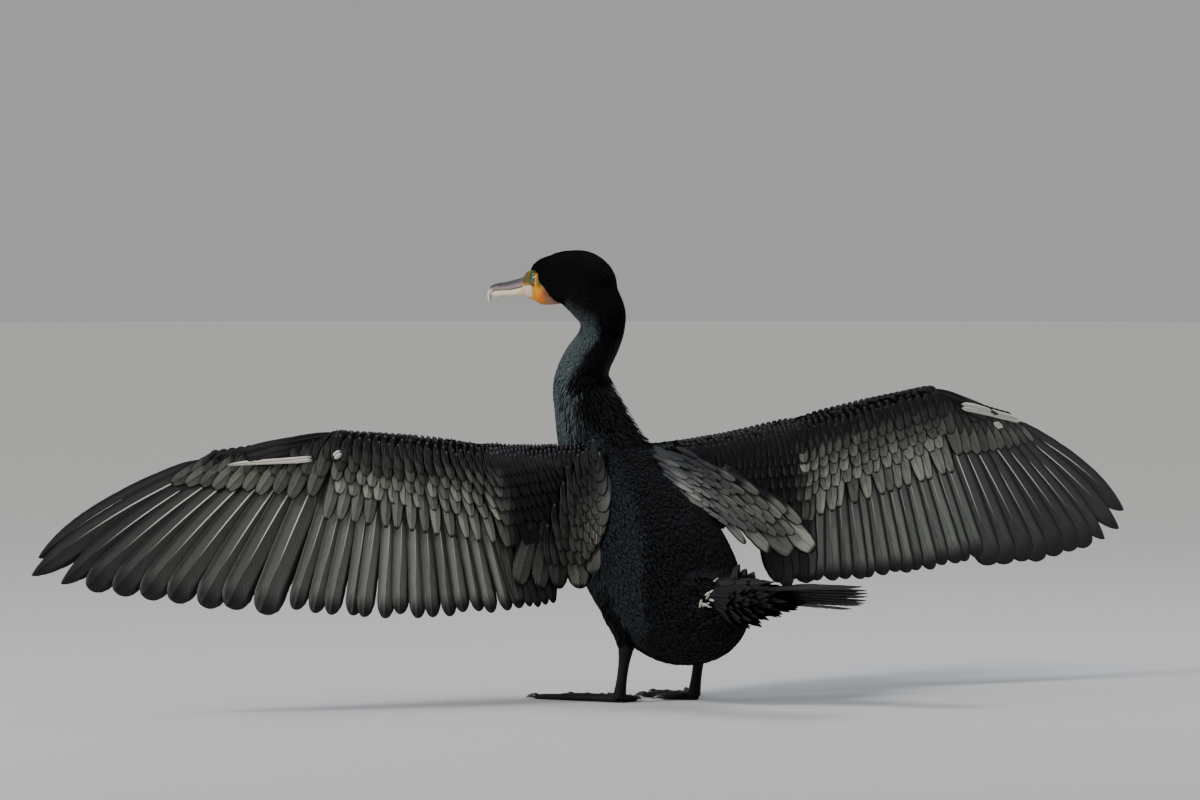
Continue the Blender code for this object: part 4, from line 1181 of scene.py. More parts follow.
def tail_coverts(plumes):
    """Add the coverts over and under the root of the tail, the tuft over it and loose down."""
    root = np.array(TAIL_ROOT, float)
    backward, left, up = tail_frame()
    random = plumes.random
    # They lie in half rings: (length, slope, out from the root, ahead of it)
    over = [(66, 0.0, 5, -2), (50, 0.05, 7, 4), (34, 0.12, 9, 8)]
    under = [(70, 0.06, 4, -8), (66, 0.12, 6.5, -4), (61, 0.18, 9, 0), (56, 0.24, 11.5, 3),
             (51, 0.3, 13.5, 6), (46, 0.36, 15.5, 9), (41, 0.42, 17.5, 11)]
    s = stations(14)
    for above, rows in ((1, over), (-1, under)):
        for length, slope, out, ahead in rows:
            for i in range(11):
                turn = math.radians(17 * (i - 5)) + random.normal(0, 0.05)
                outward = left * math.sin(turn) + up * above * math.cos(turn)
                side = left * math.cos(turn) - up * above * math.sin(turn)
                along = unit(backward + up * above * slope * math.cos(turn)
                             + left * (0.16 + 0.4 * slope) * math.sin(turn))
                normal = unit(outward - along * (outward @ along))
                start = (root - backward * ahead + left * (10 + 0.4 * out) * math.sin(turn)
                         + up * above * (3 + out * math.cos(turn)))
                centres = start + np.outer(length * random.uniform(0.88, 1.08) * s, along)
                plumes.add(centres, np.tile(side, (14, 1)), np.tile(normal, (14, 1)), 6.5, 6.5,
                           "pointed", shaft=0.5, thick=0.5, camber=0.2, ragged=0.3, bronze=0.0,
                           tone=0.3 * random.random())
    # A ruffled tuft stands up over the root
    for i in range(9):
        swing = 0.09 * (i - 4)
        along = unit(backward * (0.35 + 0.05 * (i % 3)) + up * 0.9 + left * swing)
        side = unit(np.cross(along, left * 0.8 + backward * 0.2))
        normal = unit(np.cross(side, along))
        start = root + backward * (10 + 1.5 * (i % 3)) + left * 2.5 * (i - 4) + up * 2
        centres = start + np.outer(random.uniform(20, 27) * s, along)
        plumes.add(centres, np.tile(side, (14, 1)), np.tile(normal, (14, 1)), 5, 5, "pointed",
                   shaft=0.4, thick=0.5, camber=0.2, ragged=0.3, bronze=0.0, tone=0.2)
    # White down shows between the feathers at the root
    for place in DOWN_SPECKS:
        for i in range(4):
            along = unit(backward * 0.8 + up * random.normal(0.2, 0.5)
                         + left * random.normal(0.1, 0.3))
            side = unit(np.cross(along, LAID_FROM))
            start = np.array(place, float) + LAID_FROM * random.uniform(3, 6)
            start = start + random.normal(0, 2, 3)
            centres = start + np.outer(random.uniform(7, 12) * s, along)
            plumes.add(centres, np.tile(side, (14, 1)), np.tile(np.cross(side, along), (14, 1)),
                       1.3, 1.3, "pointed", shaft=0.25, thick=0.4, camber=0.2, ragged=0.6,
                       bronze=0.0, tone=random.random(), pale=random.uniform(0.4, 0.9))


# ---- skin and the coat of small feathers
def flesh_rings(wing, shrink, count=26):
    """Return rings of a wing's flesh, thinner by the coat's depth."""
    rings = []
    for place in np.linspace(-0.3, 3.0, count):
        point, outward, trailing, dorsal = wing_frame(wing, place)
        ahead, behind, thick = blend(WING_FLESH, place)
        profile = []
        for turn in np.radians((90, 110, 135, 160, 180, 200, 225, 250, 270)):
            profile.append(((ahead - shrink) * math.cos(turn), (thick - shrink) * math.sin(turn)))
        for reach, share in ((0.5, -0.6), (0.85, -0.2), (1, 0), (0.85, 0.2), (0.5, 0.6)):
            profile.append((behind * reach, (thick - shrink) * share))
        rings.append([point + trailing * c + dorsal * h for c, h in profile])
    return rings


def build_skin(looks):
    """Fuse body, neck, head, wings, tail root and shanks into one skin under the feathers."""
    centres, acrosses, ups, alongs, sizes = body_frames(6)
    body = []
    for c, a, u, (w, d, coat) in zip(centres, acrosses, ups, sizes):
        body.append(ring_points(c, a, u, max(w - coat, 1), max(d - coat, 1), 48))
    head = []
    across = head_point(0, 1, 0) - head_point(0, 0, 0)
    for distance, z, w, d in smooth_line(HEAD_LINE, 5):
        if distance > 106:
            break
        deep = HEAD_COAT + (1.2 if distance > 70 else 0)
        head.append(ring_points(head_point(distance, 0, z), across, np.array([0, 0, 1.0]),
                                max(w - deep, 1), max(d - deep, 1), 40))
    lofts = [body, head]
    for wing in WINGS.values():
        lofts.append(flesh_rings(wing, 2.2))
        line = smooth_line([(wing["side"] * x, y, z, r) for x, y, z, r in LEG_LINE], 5)
        lofts.append(tube_rings(line[:, :3], np.maximum(line[:, 3] - 2.2, 3.6), 20))
    root = np.array(TAIL_ROOT, float)
    backward, left, up = tail_frame()
    lofts.append([ring_points(root + backward * s, left, up, w, d, 20)
                  for s, w, d in ((-30, 20, 14), (0, 17, 10), (22, 13, 6), (36, 10, 3.5))])
    skin = fused("skin", lofts, 2.6, 8, [down_skin_material(looks)])
    nodes = ["torso", "neck_lower", "neck_upper", "head", "leg_left", "leg_right"]
    return place_piece(skin, nodes)


def bare_distance(distance, z):
    """Return how far inside the bare skin's outline a point lies, in millimetres."""
    outline_points = np.array(BARE_EDGE, float)
    place = np.stack([distance, z], -1)
    nearest = np.full(len(place), 1e9)
    inside = np.zeros(len(place), bool)
    for a, b in zip(outline_points, np.roll(outline_points, -1, axis=0)):
        span = b - a
        share = np.clip(((place - a) @ span) / (span @ span), 0, 1)
        nearest = np.minimum(nearest, np.linalg.norm(place - a - share[:, None] * span, axis=1))
        crosses = (a[1] > place[:, 1]) != (b[1] > place[:, 1])
        with np.errstate(divide="ignore", invalid="ignore"):
            edge = a[0] + (place[:, 1] - a[1]) / (b[1] - a[1]) * span[0]
        inside ^= crosses & (place[:, 0] < edge)
    return np.where(inside, nearest, -nearest)


def coat_guides():
    """Return guide points for the coat: place, lie, radius, length, half width, depth, chart.

    The lie runs from the bill back over the head and down the neck and body, down the shanks,
    and from the front edge of each wing back.
    """
    guides = []

    def guide(place, lie, radius, length, half, depth, chart):
        guides.append((*place, *unit(lie), radius, length, half, depth, chart))

    backward = unit(head_point(-1, 0, 0) - head_point(0, 0, 0))
    for distance in np.arange(4, 114, 5.0):
        z, w, d = head_sizes(distance)
        lie = backward + np.array([0, 0, -1.0]) * max(0, (40 - distance) / 40)
        share = distance / 114
        guide(head_point(distance, 0, z), lie, (w + d) / 2, 8.0 - 5 * share,
              1.35 - 0.6 * share, HEAD_COAT, 0)
    centres, acrosses, ups, alongs, sizes = body_frames(4)
    for c, along, (w, d, coat) in list(zip(centres, alongs, sizes))[1:-8]:
        height = np.clip((c[2] - 130) / 230, 0, 1) if c[1] < 60 else 0
        guide(c, -along, (w + d) / 2, 19 - 9.5 * height, 2.5 - 1.2 * height, coat, 1)
    for wing in WINGS.values():
        for x, y, z, r in smooth_line(LEG_LINE, 3):
            guide((wing["side"] * x, y, z), (0, 0.12, -1), r, 14, 3.0, 2.4, 2)
        for place in np.linspace(0.1, 3.0, 40):
            point, outward, trailing, dorsal = wing_frame(wing, place)
            ahead, behind, thick = blend(WING_FLESH, place)
            angle = math.radians(wing_fan(wing, place))
            lie = trailing * math.cos(angle) + outward * math.sin(angle)
            guide(point, lie, (ahead + thick) / 2, 10 - 1.8 * max(place - 1, 0),
                  2.5 - 0.5 * max(place - 1, 0), 0.8, 3 if wing["side"] > 0 else 4)
    root = np.array(TAIL_ROOT, float)
    backward, left, up = tail_frame()
    for s in (-10, 5, 20, 34):
        guide(root + backward * s, backward, 14, 30, 5.5, 3, 5)
    return np.array(guides)


def read_guides(points, guides):
    """Blend the guides' values at points; the guide nearest for its own radius counts most."""
    values = np.zeros((len(points), 7))
    charts = np.zeros(len(points), int)
    for first in range(0, len(points), 4000):
        block = points[first:first + 4000]
        reach = np.linalg.norm(block[:, None] - guides[None, :, :3], axis=2) / guides[:, 6]
        weight = np.maximum(reach, 0.2) ** -9.0
        charts[first:first + 4000] = guides[np.argmin(reach, axis=1), 10]
        weight /= weight.sum(axis=1, keepdims=True)
        values[first:first + 4000] = weight @ guides[:, [3, 4, 5, 7, 8, 9, 6]]
    return values, charts


def spread_roots(skin, guides, spacing_share, seed):
    """Scatter feather roots over the skin, as close as each place's feathers need."""
    random = np.random.default_rng(seed)
    data = skin.data
    data.calc_loop_triangles()
    corners = np.empty(len(data.loop_triangles) * 3, np.int32)
    data.loop_triangles.foreach_get("vertices", corners)
    points = bird_points(skin)
    a, b, c = (points[corners.reshape(-1, 3)[:, i]] for i in range(3))
    area = np.linalg.norm(np.cross(b - a, c - a), axis=1) / 2
    middle = (a + b + c) / 3
    half = read_guides(middle, guides)[0][:, 4]
    density = area / (half * spacing_share) ** 2
    total = int(density.sum() * 2.6)
    chosen = random.choice(len(area), total, p=density / density.sum())
    r1, r2 = random.random((2, total))
    root = np.sqrt(r1)
    places = ((1 - root)[:, None] * a[chosen] + (root * (1 - r2))[:, None] * b[chosen]
              + (root * r2)[:, None] * c[chosen])
    reach = half[chosen] * spacing_share * 0.86
    grid, kept = {}, []
    cell = 3.0
    keys = np.floor(places / cell).astype(int)
    for i, (place, key, near) in enumerate(zip(places.tolist(), keys.tolist(), reach.tolist())):
        steps = range(-int(near // cell) - 1, int(near // cell) + 2)
        clear = True
        for dx in steps:
            for dy in steps:
                for dz in steps:
                    for other in grid.get((key[0] + dx, key[1] + dy, key[2] + dz), ()):
                        gap = ((place[0] - other[0]) ** 2 + (place[1] - other[1]) ** 2
                               + (place[2] - other[2]) ** 2)
                        if gap < near * near:
                            clear = False
                            break
                    if not clear:
                        break
                if not clear:
                    break
            if not clear:
                break
        if clear:
            grid.setdefault(tuple(key), []).append(place)
            kept.append(i)
    return places[kept]


def chart_places(points, charts):
    """Lay each root on an unwrap of the skin: along its part, and round it."""
    centres, acrosses, ups, alongs, sizes = body_frames(4)
    flat = np.zeros((len(points), 2))
    boxes = {0: (0.0, 0.0, 0.3, 0.3), 1: (0.0, 0.32, 1.0, 0.66), 2: (0.32, 0.0, 0.2, 0.3),
             3: (0.54, 0.0, 0.15, 0.3), 4: (0.7, 0.0, 0.15, 0.3), 5: (0.86, 0.0, 0.13, 0.3)}
    for chart, (left, low, wide, high) in boxes.items():
        mine = charts == chart
        p = points[mine]
        if not len(p):
            continue
        if chart == 0:
            distance, offset, z = head_place(p)
            middle = head_sizes(np.clip(distance, 0, 114))[0]
            u, v = (distance + 20) / 140, np.arctan2(offset, z - middle) / (2 * np.pi) + 0.5
        elif chart == 1:
            near = np.argmin(np.linalg.norm(p[:, None] - centres[None], axis=2), axis=1)
            offset = p - centres[near]
            angle = np.arctan2((offset * acrosses[near]).sum(1), (offset * ups[near]).sum(1))
            u, v = near / len(centres), angle / (2 * np.pi) + 0.5
        elif chart in (3, 4):
            wing = WINGS["left" if chart == 3 else "right"]
            u = np.clip(np.abs(p[:, 0]) / 480, 0, 1)
            v = np.clip((p[:, 2] - 180) / 140 + (p[:, 1] > wing["joints"][1][1]) * 0.02, 0, 1)
        elif chart == 2:
            u = np.clip((p[:, 2] - 40) / 90, 0, 1)
            v = (np.arctan2(p[:, 1], np.abs(p[:, 0]) - LEG_SPACING) / (2 * np.pi) + 0.5) / 2
            v += (p[:, 0] > 0) * 0.5
        else:
            u, v = (p[:, 1] - 90) / 90, np.clip((p[:, 0] + 60) / 120, 0, 1)
        flat[mine, 0] = left + wide * np.clip(u, 0, 0.99)
        flat[mine, 1] = low + high * np.clip(v, 0, 0.99)
    return flat


COAT_RINGS = (0.0, 0.3, 0.65, 0.88)
COAT_WIDTHS = (0.45, 0.95, 1.0, 0.6)


def coat_mesh(name, roots, tips, normals, tip_normals, half, depth, looks_values, flat,
              materials, nodes=(), ragged=0.0, seed=1):
    """Make many small closed feathers from roots to tips, all given as arrays."""
    count = len(roots)
    random = np.random.default_rng(seed)
    along = tips - roots
    reach = np.linalg.norm(along, axis=1)
    lie = unit(along)
    bend = np.einsum("ij,ij->i", normals - tip_normals, -along) / 8
    across = unit(np.cross(lie, normals))
    blocks, vanes = [], []
    for t, width in zip(COAT_RINGS, COAT_WIDTHS):
        normal = unit(normals * (1 - t) + tip_normals * t)
        lift = depth * (-0.25 + 1.2 * t ** 0.85) + 4 * np.maximum(bend, 0) * t * (1 - t)
        centre = roots + along * t + normal * lift[:, None]
        sway = random.normal(0, 0.06, count) * ragged * 8
        wide = half * width * (1 + random.normal(0, 0.08, count))
        crown = wide * 0.06 + 0.08
        blocks.append(centre + across * (sway - wide)[:, None])
        blocks.append(centre + normal * crown[:, None] + across * sway[:, None])
        blocks.append(centre + across * (sway + wide)[:, None])
        vanes += [(0.0, t), (0.5, t), (1.0, t)]
    end = roots + along + tip_normals * (depth * 0.9)[:, None]
    blocks.append(end)
    vanes.append((0.5, 1.0))
    per = len(blocks)
    points = np.stack(blocks, axis=1).reshape(-1, 3)
    faces = []
    rings = len(COAT_RINGS)
    for k in range(rings - 1):
        for i in range(3):
            j = (i + 1) % 3
            a, b, c, d = 3 * k + i, 3 * k + j, 3 * k + 3 + j, 3 * k + 3 + i
            faces += [(a, b, c), (a, c, d)]
    faces.append((2, 1, 0))
    last = 3 * (rings - 1)
    faces += [(last, last + 1, per - 1), (last + 1, last + 2, per - 1), (last + 2, last, per - 1)]
    faces = np.array(faces)
    triangles = (faces[None] + (np.arange(count) * per)[:, None, None]).reshape(-1, 3)
    data = bpy.data.meshes.new(name)
    data.vertices.add(len(points))
    data.vertices.foreach_set("co", to_model(points).astype(np.float32).ravel())
    data.loops.add(len(triangles) * 3)
    data.loops.foreach_set("vertex_index", triangles.astype(np.int32).ravel())
    data.polygons.add(len(triangles))
    data.polygons.foreach_set("loop_start", np.arange(0, len(triangles) * 3, 3, dtype=np.int32))
    data.update(calc_edges=True)
    data.polygons.foreach_set("use_smooth", np.full(len(triangles), True))
    for material in materials:
        data.materials.append(material)
    item = bpy.data.objects.new(name, data)
    bpy.context.scene.collection.objects.link(item)
    vane = np.tile(np.array(vanes), (count, 1))
    loops = triangles.ravel()
    data.uv_layers.new(name="Vane").data.foreach_set("uv", vane[loops].ravel())
    bake = np.repeat(flat, per, axis=0) + vane * 0.003
    data.uv_layers.new(name="OFBake").data.foreach_set("uv", bake[loops].ravel())
    for key, value in looks_values.items():
        if value.ndim == 1:
            set_values(item, key, np.repeat(value, per))
        else:
            set_colours(item, key, np.repeat(value, per, axis=0))
    return place_piece(item, nodes)


def coat_colours(points, normals, charts, looks):
    """Return the colour of the coat at each root, with a painted sheen on neck, breast and flanks.

    Crown, nape and back are black; throat, breast and flanks are a dull grey-green black, lightened where they
    face away from the back: painted sheen.
    """
    black = np.array(looks.body_black[:3])
    colours = np.tile(black, (len(points), 1))
    velvet = np.array(linear("#040405"))
    colours[charts == 0] = velvet
    centres, acrosses, ups, alongs, sizes = body_frames(4)
    near = np.zeros(len(points), int)
    for first in range(0, len(points), 4000):
        block = points[first:first + 4000]
        gaps = np.linalg.norm(block[:, None] - centres[None], axis=2)
        near[first:first + 4000] = gaps.argmin(axis=1)
    # Angle from the middle of the back, with the edge between the two kept soft and uneven
    angle = np.degrees(np.arccos(np.clip(-(normals * ups[near]).sum(1), -1, 1)))
    uneven = 5 * np.sin(points[:, 2] * 0.09) + 4 * np.sin(points[:, 2] * 0.23 + 1)
    # Sides and front of the neck take the painted sheen
    neck = np.clip((angle + uneven - 47) / 14, 0, 1)
    # On the body only breast and fore flanks take the grey-green painted sheen: the edge runs back and outward
    flank = (np.abs(points[:, 0]) + 0.4 * uneven - 23 - 0.577 * points[:, 1]) / 9
    flank = np.clip(flank, 0, 1) * np.clip((angle - 25) / 20, 0, 1)
    # The nape stays black where the neck meets the back
    nape = np.clip((normals[:, 1] - 0.55) / 0.22, 0, 1)
    neck = neck * (1 - nape * np.clip((340 - points[:, 2]) / 25, 0, 1))
    high = np.clip((points[:, 2] - 235) / 40, 0, 1)
    front = (flank * (1 - high) + neck * high)[:, None]
    high = high[:, None]
    # Grey-green of flank and neck: painted sheen on the black coat
    pale = np.array(looks.flank_sheen_grey[:3]) * (1 - high) + np.array(looks.neck_sheen_grey[:3]) * high
    # Under the throat the velvet of the head runs on a little way
    top = np.clip((points[:, 2] + 0.2 * points[:, 1] - 345) / 22, 0, 1)[:, None]
    pale = pale * (1 - top) + velvet * top
    with_painted_sheen = colours * (1 - front) + pale * front
    return np.where((charts == 1)[:, None], with_painted_sheen, colours)


def build_coat(skin, looks):
    """Cover the skin with small feathers that follow the lie of the real coat."""
    guides = coat_guides()
    roots = spread_roots(skin, guides, looks.coat_spacing, 11)
    values, charts = read_guides(roots, guides)
    tree = BVHTree.FromObject(skin, bpy.context.evaluated_depsgraph_get())

    def nearest(points):
        found = [tree.find_nearest(Vector(p)) for p in to_model(points).tolist()]
        places = np.array([f[0] for f in found])
        return (places - SHIFT) / MM, np.array([f[1] for f in found], float)

    distance, offset, z = head_place(roots)
    bare = bare_distance(distance, z)
    face = (charts == 0) & (bare > -0.6) & (distance < 130)
    bill = (distance > 108) & (charts == 0)
    # Feathers inside the wing's own rows, or hidden deep under them, are left out
    on_wing = (charts == 3) | (charts == 4)
    behind = np.zeros(len(roots), bool)
    for sign, wing in ((3, WINGS["left"]), (4, WINGS["right"])):
        mine = np.where(charts == sign)[0]
        for i in mine:
            x = roots[i, 0] * wing["side"]
            joints = [abs(j[0]) for j in wing["joints"]]
            place = np.interp(x, joints, [0, 1, 2, 3])
            point, outward, trailing, dorsal = wing_frame(wing, place)
            back = (roots[i] - point) @ trailing
            behind[i] = back > -2 or place > 2.93
    keep = ~(face | bill | (on_wing & behind))
    roots, values, charts = roots[keep], values[keep], charts[keep]
    on, normals = nearest(roots)
    random = np.random.default_rng(5)
    lie = values[:, :3] - normals * np.einsum("ij,ij->i", values[:, :3], normals)[:, None]
    lie = unit(lie)
    side = np.cross(normals, lie)
    sway = random.normal(0, 0.12, len(roots))
    lie = unit(lie * np.cos(sway)[:, None] + side * np.sin(sway)[:, None])
    length = values[:, 3] * random.uniform(0.85, 1.15, len(roots))
    half = values[:, 4] * random.uniform(0.85, 1.1, len(roots))
    depth = values[:, 5] * random.uniform(0.75, 1.0, len(roots))
    # Nape feathers stand a little apart in wet spikes
    nape = (charts == 1) & (roots[:, 2] > 255) & (roots[:, 2] < 318) & (normals[:, 1] > 0.1)
    spiky = nape & (random.random(len(roots)) < 0.4)
    length = np.where(spiky, length * 1.4, length)
    half = np.where(spiky, half * 0.5, half)
    depth = np.where(spiky, depth * 2.8, depth)
    tips, tip_normals = nearest(roots + lie * length[:, None])
    colours = coat_colours(roots, normals, charts, looks)
    values = {"coat": colours, "tone": random.random(len(roots))}
    flat = chart_places(roots, charts)
    # The body's feathers keep a soft gloss; the head's are as matt as velvet
    glossy = small_feather_material("contour_feather_vane", 0.62, 0.09)
    velvet = small_feather_material("velvet_head_feather", 0.75, 0.06)
    pieces = []
    body = (charts == 1) & (roots[:, 2] <= 235)
    neck = (charts == 1) & (roots[:, 2] > 235)
    throat = neck & (roots[:, 2] > 358)
    groups = {"coat_head": charts == 0, "coat_throat": throat,
              "coat_neck_upper": neck & (roots[:, 2] > 282) & ~throat,
              "coat_neck_lower": neck & (roots[:, 2] <= 282),
              "coat_body_left": body & (roots[:, 0] > 0),
              "coat_body_right": body & (roots[:, 0] <= 0),
              "coat_shanks": charts == 2, "coat_wing_edges": (charts == 3) | (charts == 4),
              "coat_tail_base": charts == 5}
    for number, (name, mine) in enumerate(groups.items()):
        if mine.any():
            pieces.append(coat_mesh(
                name, on[mine], tips[mine], normals[mine], tip_normals[mine], half[mine],
                depth[mine], {k: v[mine] for k, v in values.items()}, flat[mine],
                [velvet if name in MATT_COATS else glossy],
                ragged=0.5, seed=number + 3))
    return pieces


# ---- bare face, lids, eyes and bill
def spot(distance, z, middle, size):
    """Return a soft round patch, 1 in its middle, in the plane of the head's side."""
    return np.exp(-(((distance - middle[0]) / size[0]) ** 2 + ((z - middle[1]) / size[1]) ** 2))


def layer(colours, amount, colour):
    amount = np.clip(amount, 0, 1)[:, None]
    return colours * (1 - amount) + np.array(colour) * amount


def face_colours(points):
    """Return the markings of the bare skin: yellow throat, olive lores and pale patches."""
    distance, offset, z = head_place(points)
    colours = np.tile(np.array(linear("#c07c00")), (len(points), 1))
    # Lores, in front of the eye and up to the forehead, are yellow-green to dusky olive
    lores = 1 / (1 + np.exp(-(z - (401.3 + 0.1 * (distance - 100))) / 0.9))
    colours = layer(colours, lores * 0.95, linear("#4a5008"))
    colours = layer(colours, lores * np.clip((distance - 101) / 8, 0, 1) * 0.7, linear("#3f3b2a"))
    # The pale patch under the eye runs on into the pale lower bill
    below = 1 / (1 + np.exp((z - 400.6) / 0.5)) / (1 + np.exp((389.5 - z) / 0.9))
    fore = 1 / (1 + np.exp((96.5 + 0.5 * (394 - z) - distance) / 1.2))
    colours = layer(colours, below * fore * 0.95, linear("#c3b8ad"))
    colours = layer(colours, spot(distance, z, (79.5, 390.5), (5, 4)) * 0.9, linear("#c65400"))
    colours = layer(colours, spot(distance, z, (85.6, 405), (1.9, 6.5)) * 1.4, linear("#d68a10"))
    colours = layer(colours, spot(distance, z, (84, 394.5), (5.5, 3.2)) * 0.6, linear("#e0a000"))
    # Towards the feathers the throat turns red-brown above and pink below
    rear = 1 / (1 + np.exp((distance - (75.5 - 0.25 * (z - 390))) / 1.1))
    low = 1 / (1 + np.exp((z - 388.5) / 1.3))
    colours = layer(colours, rear * 0.85, linear("#5d2f26"))
    colours = layer(colours, rear * low * 0.8, linear("#b07a6e"))
    # Under the jaw the yellow fades and dulls
    colours = layer(colours, np.clip((383 - z) / 4, 0, 1) * 0.45, linear("#8a6a3a"))
    eye = np.hypot(distance - EYE_DISTANCE, z - EYE_Z)
    colours = layer(colours, np.exp(-((eye - 6.4) / 1.7) ** 2) * 0.8 * (distance > 86.5),
                    linear("#23260c"))
    return colours


def build_face():
    """Make the bare skin of the face and throat as one fine, creased surface."""
    distances = np.linspace(60, 114.6, 150)
    angles = np.linspace(0, 2 * np.pi, 241)[:-1]
    d, a = np.meshgrid(distances, angles, indexing="ij")
    z, w, h = head_sizes(d)
    surface = head_point(d, w * np.cos(a), z + h * np.sin(a))
    normal = unit(np.stack([np.cos(a) / w, np.sin(a) / h], -1))
    random = np.random.default_rng(21)
    height = surface[..., 2]
    inside = bare_distance(d.ravel(), height.ravel()).reshape(d.shape)
    # Past its rim the skin sinks under the feathers
    depth = np.where(inside > 0, 0.15, 0.15 + np.clip(-inside, 0, 4) * 0.75)
    # Fine folds of the pouch run down from the mouth
    folds = np.sin(d * 2.1 + 1.5 * np.sin(height * 0.35)) * 0.16 * (height < 400)
    folds += np.sin(height * 2.6 + 0.6 * np.sin(d * 0.5)) * 0.1 * (height < 398)
    # Mouth line: a crease from the bill back to below the eye
    line = 399.9 + 0.05 * (114.3 - d)
    crease = np.exp(-((height - line) / 0.45) ** 2) * (d > 93) * np.clip((d - 93) / 3, 0, 1)
    depth = depth - folds * np.clip(inside / 3, 0, 1) + 1.1 * crease
    eye = np.hypot(d - EYE_DISTANCE, height - EYE_Z)
    side = np.abs(np.cos(a)) > 0.3
    depth += np.where(side, 5.5 * np.clip((5.3 - eye) / 0.7, 0, 1), 0)
    depth -= np.where(side, 0.5 * np.exp(-((eye - 6.6) / 1.1) ** 2), 0)
    w2, h2 = np.maximum(w - depth, 1), np.maximum(h - depth, 1)
    points = head_point(d, w2 * np.cos(a), z + h2 * np.sin(a))
    rings, sides = d.shape
    faces = []
    keep = inside > -4.5
    for r in range(rings - 1):
        for i in range(sides):
            j = (i + 1) % sides
            if keep[r, i] or keep[r + 1, j]:
                faces.append((r * sides + i, (r + 1) * sides + i, (r + 1) * sides + j,
                              r * sides + j))
    flat = points.reshape(-1, 3)
    item = mesh_from("bare_face", flat, faces, [bare_skin_material()])
    set_colours(item, "face", face_colours(flat))
    body = bmesh.new()
    body.from_mesh(item.data)
    loose = [v for v in body.verts if not v.link_faces]
    bmesh.ops.delete(body, geom=loose, context="VERTS")
    bmesh.ops.recalc_face_normals(body, faces=body.faces[:])
    body.to_mesh(item.data)
    body.free()
    return place_piece(item, ["face_skin"])


def eye_axes(side):
    """Return an eye's centre and outward direction."""
    centre = head_point(EYE_DISTANCE, side * EYE_OFFSET, EYE_Z)
    outward = unit(head_point(0.12, side, 0.1) - head_point(0, 0, 0))
    return centre, outward


def build_eye(side, looks):
    """Make one eyeball with its iris and pupil, and the beaded ring of its lids."""
    name = "left" if side > 0 else "right"
    centre, outward = eye_axes(side)
    turn = np.array(Vector(outward).to_track_quat("Z", "Y").to_matrix())
    rings, sides = 48, 64
    points, hues = [], []
    iris, rim = np.array(looks.iris_colour[:3]), np.array(linear("#0a2a1e"))
    random = np.random.default_rng(31)
    fibres = random.random(sides)
    for k in range(rings + 1):
        polar = np.pi * k / rings
        for i in range(sides):
            around = 2 * np.pi * i / sides
            reach = EYE_RADIUS * math.sin(polar)
            bulge = 0.35 * math.exp(-(reach / 2.6) ** 2) if polar < 1.5 else 0
            local = np.array([reach * math.cos(around), reach * math.sin(around),
                              EYE_RADIUS * math.cos(polar) + bulge])
            points.append(centre + turn @ local)
            if polar > 1.5 or reach > 4.7:
                hue = np.array(linear("#161411"))
            elif reach < 2.0:
                hue = np.array(linear("#020203"))
            else:
                share = (reach - 2.0) / 2.7
                hue = iris * (0.65 + 0.5 * fibres[i]) * (1.25 - 0.5 * share)
                hue = hue * (1 - share ** 4) + rim * share ** 4
            hues.append(hue)
    eyeball = mesh_from("eyeball_" + name, np.array(points),
                        loft_faces(rings + 1, sides, False), [eye_material()])
    set_colours(eyeball, "iris", np.array(hues))
    body = bmesh.new()
    body.from_mesh(eyeball.data)
    bmesh.ops.remove_doubles(body, verts=body.verts, dist=1e-7)
    bmesh.ops.recalc_face_normals(body, faces=body.faces[:])
    body.to_mesh(eyeball.data)
    body.free()
    place_piece(eyeball, ["eye_" + name])

    # Lids: two soft folds, the upper one lower over the eye, with small beads on the rim
    rings, sides = 96, 14
    points, faces = [], []
    for k in range(rings):
        around = 2 * np.pi * k / rings
        radial = turn @ np.array([math.cos(around), math.sin(around), 0])
        upward = radial[2]
        bead = 0.16 * abs(math.sin(around * 22))
        ring_reach = 4.95 - 0.25 * max(upward, 0)
        middle = centre + radial * ring_reach + outward * (3.15 + 0.3 * max(upward, 0))
        for i in range(sides):
            part = 2 * np.pi * i / sides
            thick = (0.85 + bead) * (1.25 if math.cos(part) > 0 else 1.0)
            points.append(middle + radial * thick * math.cos(part)
                          + outward * (0.75 + bead) * math.sin(part))
    for k in range(rings):
        for i in range(sides):
            j, m = (i + 1) % sides, (k + 1) % rings
            faces.append((k * sides + i, k * sides + j, m * sides + j, m * sides + i))
    lids = mesh_from("lids_" + name, np.array(points), faces,
                     [bpy.data.materials["bare_face_skin"]])
    distance, offset, z = head_place(np.array(points))
    hue = np.tile(np.array(linear("#5a5f3a")), (len(points), 1))
    hue = layer(hue, ((distance < EYE_DISTANCE - 2.5) | (z > EYE_Z + 4)) * 0.8,
                linear("#b9ad62"))
    set_colours(lids, "face", hue)
    body = bmesh.new()
    body.from_mesh(lids.data)
    bmesh.ops.recalc_face_normals(body, faces=body.faces[:])
    body.to_mesh(lids.data)
    body.free()
    place_piece(lids)


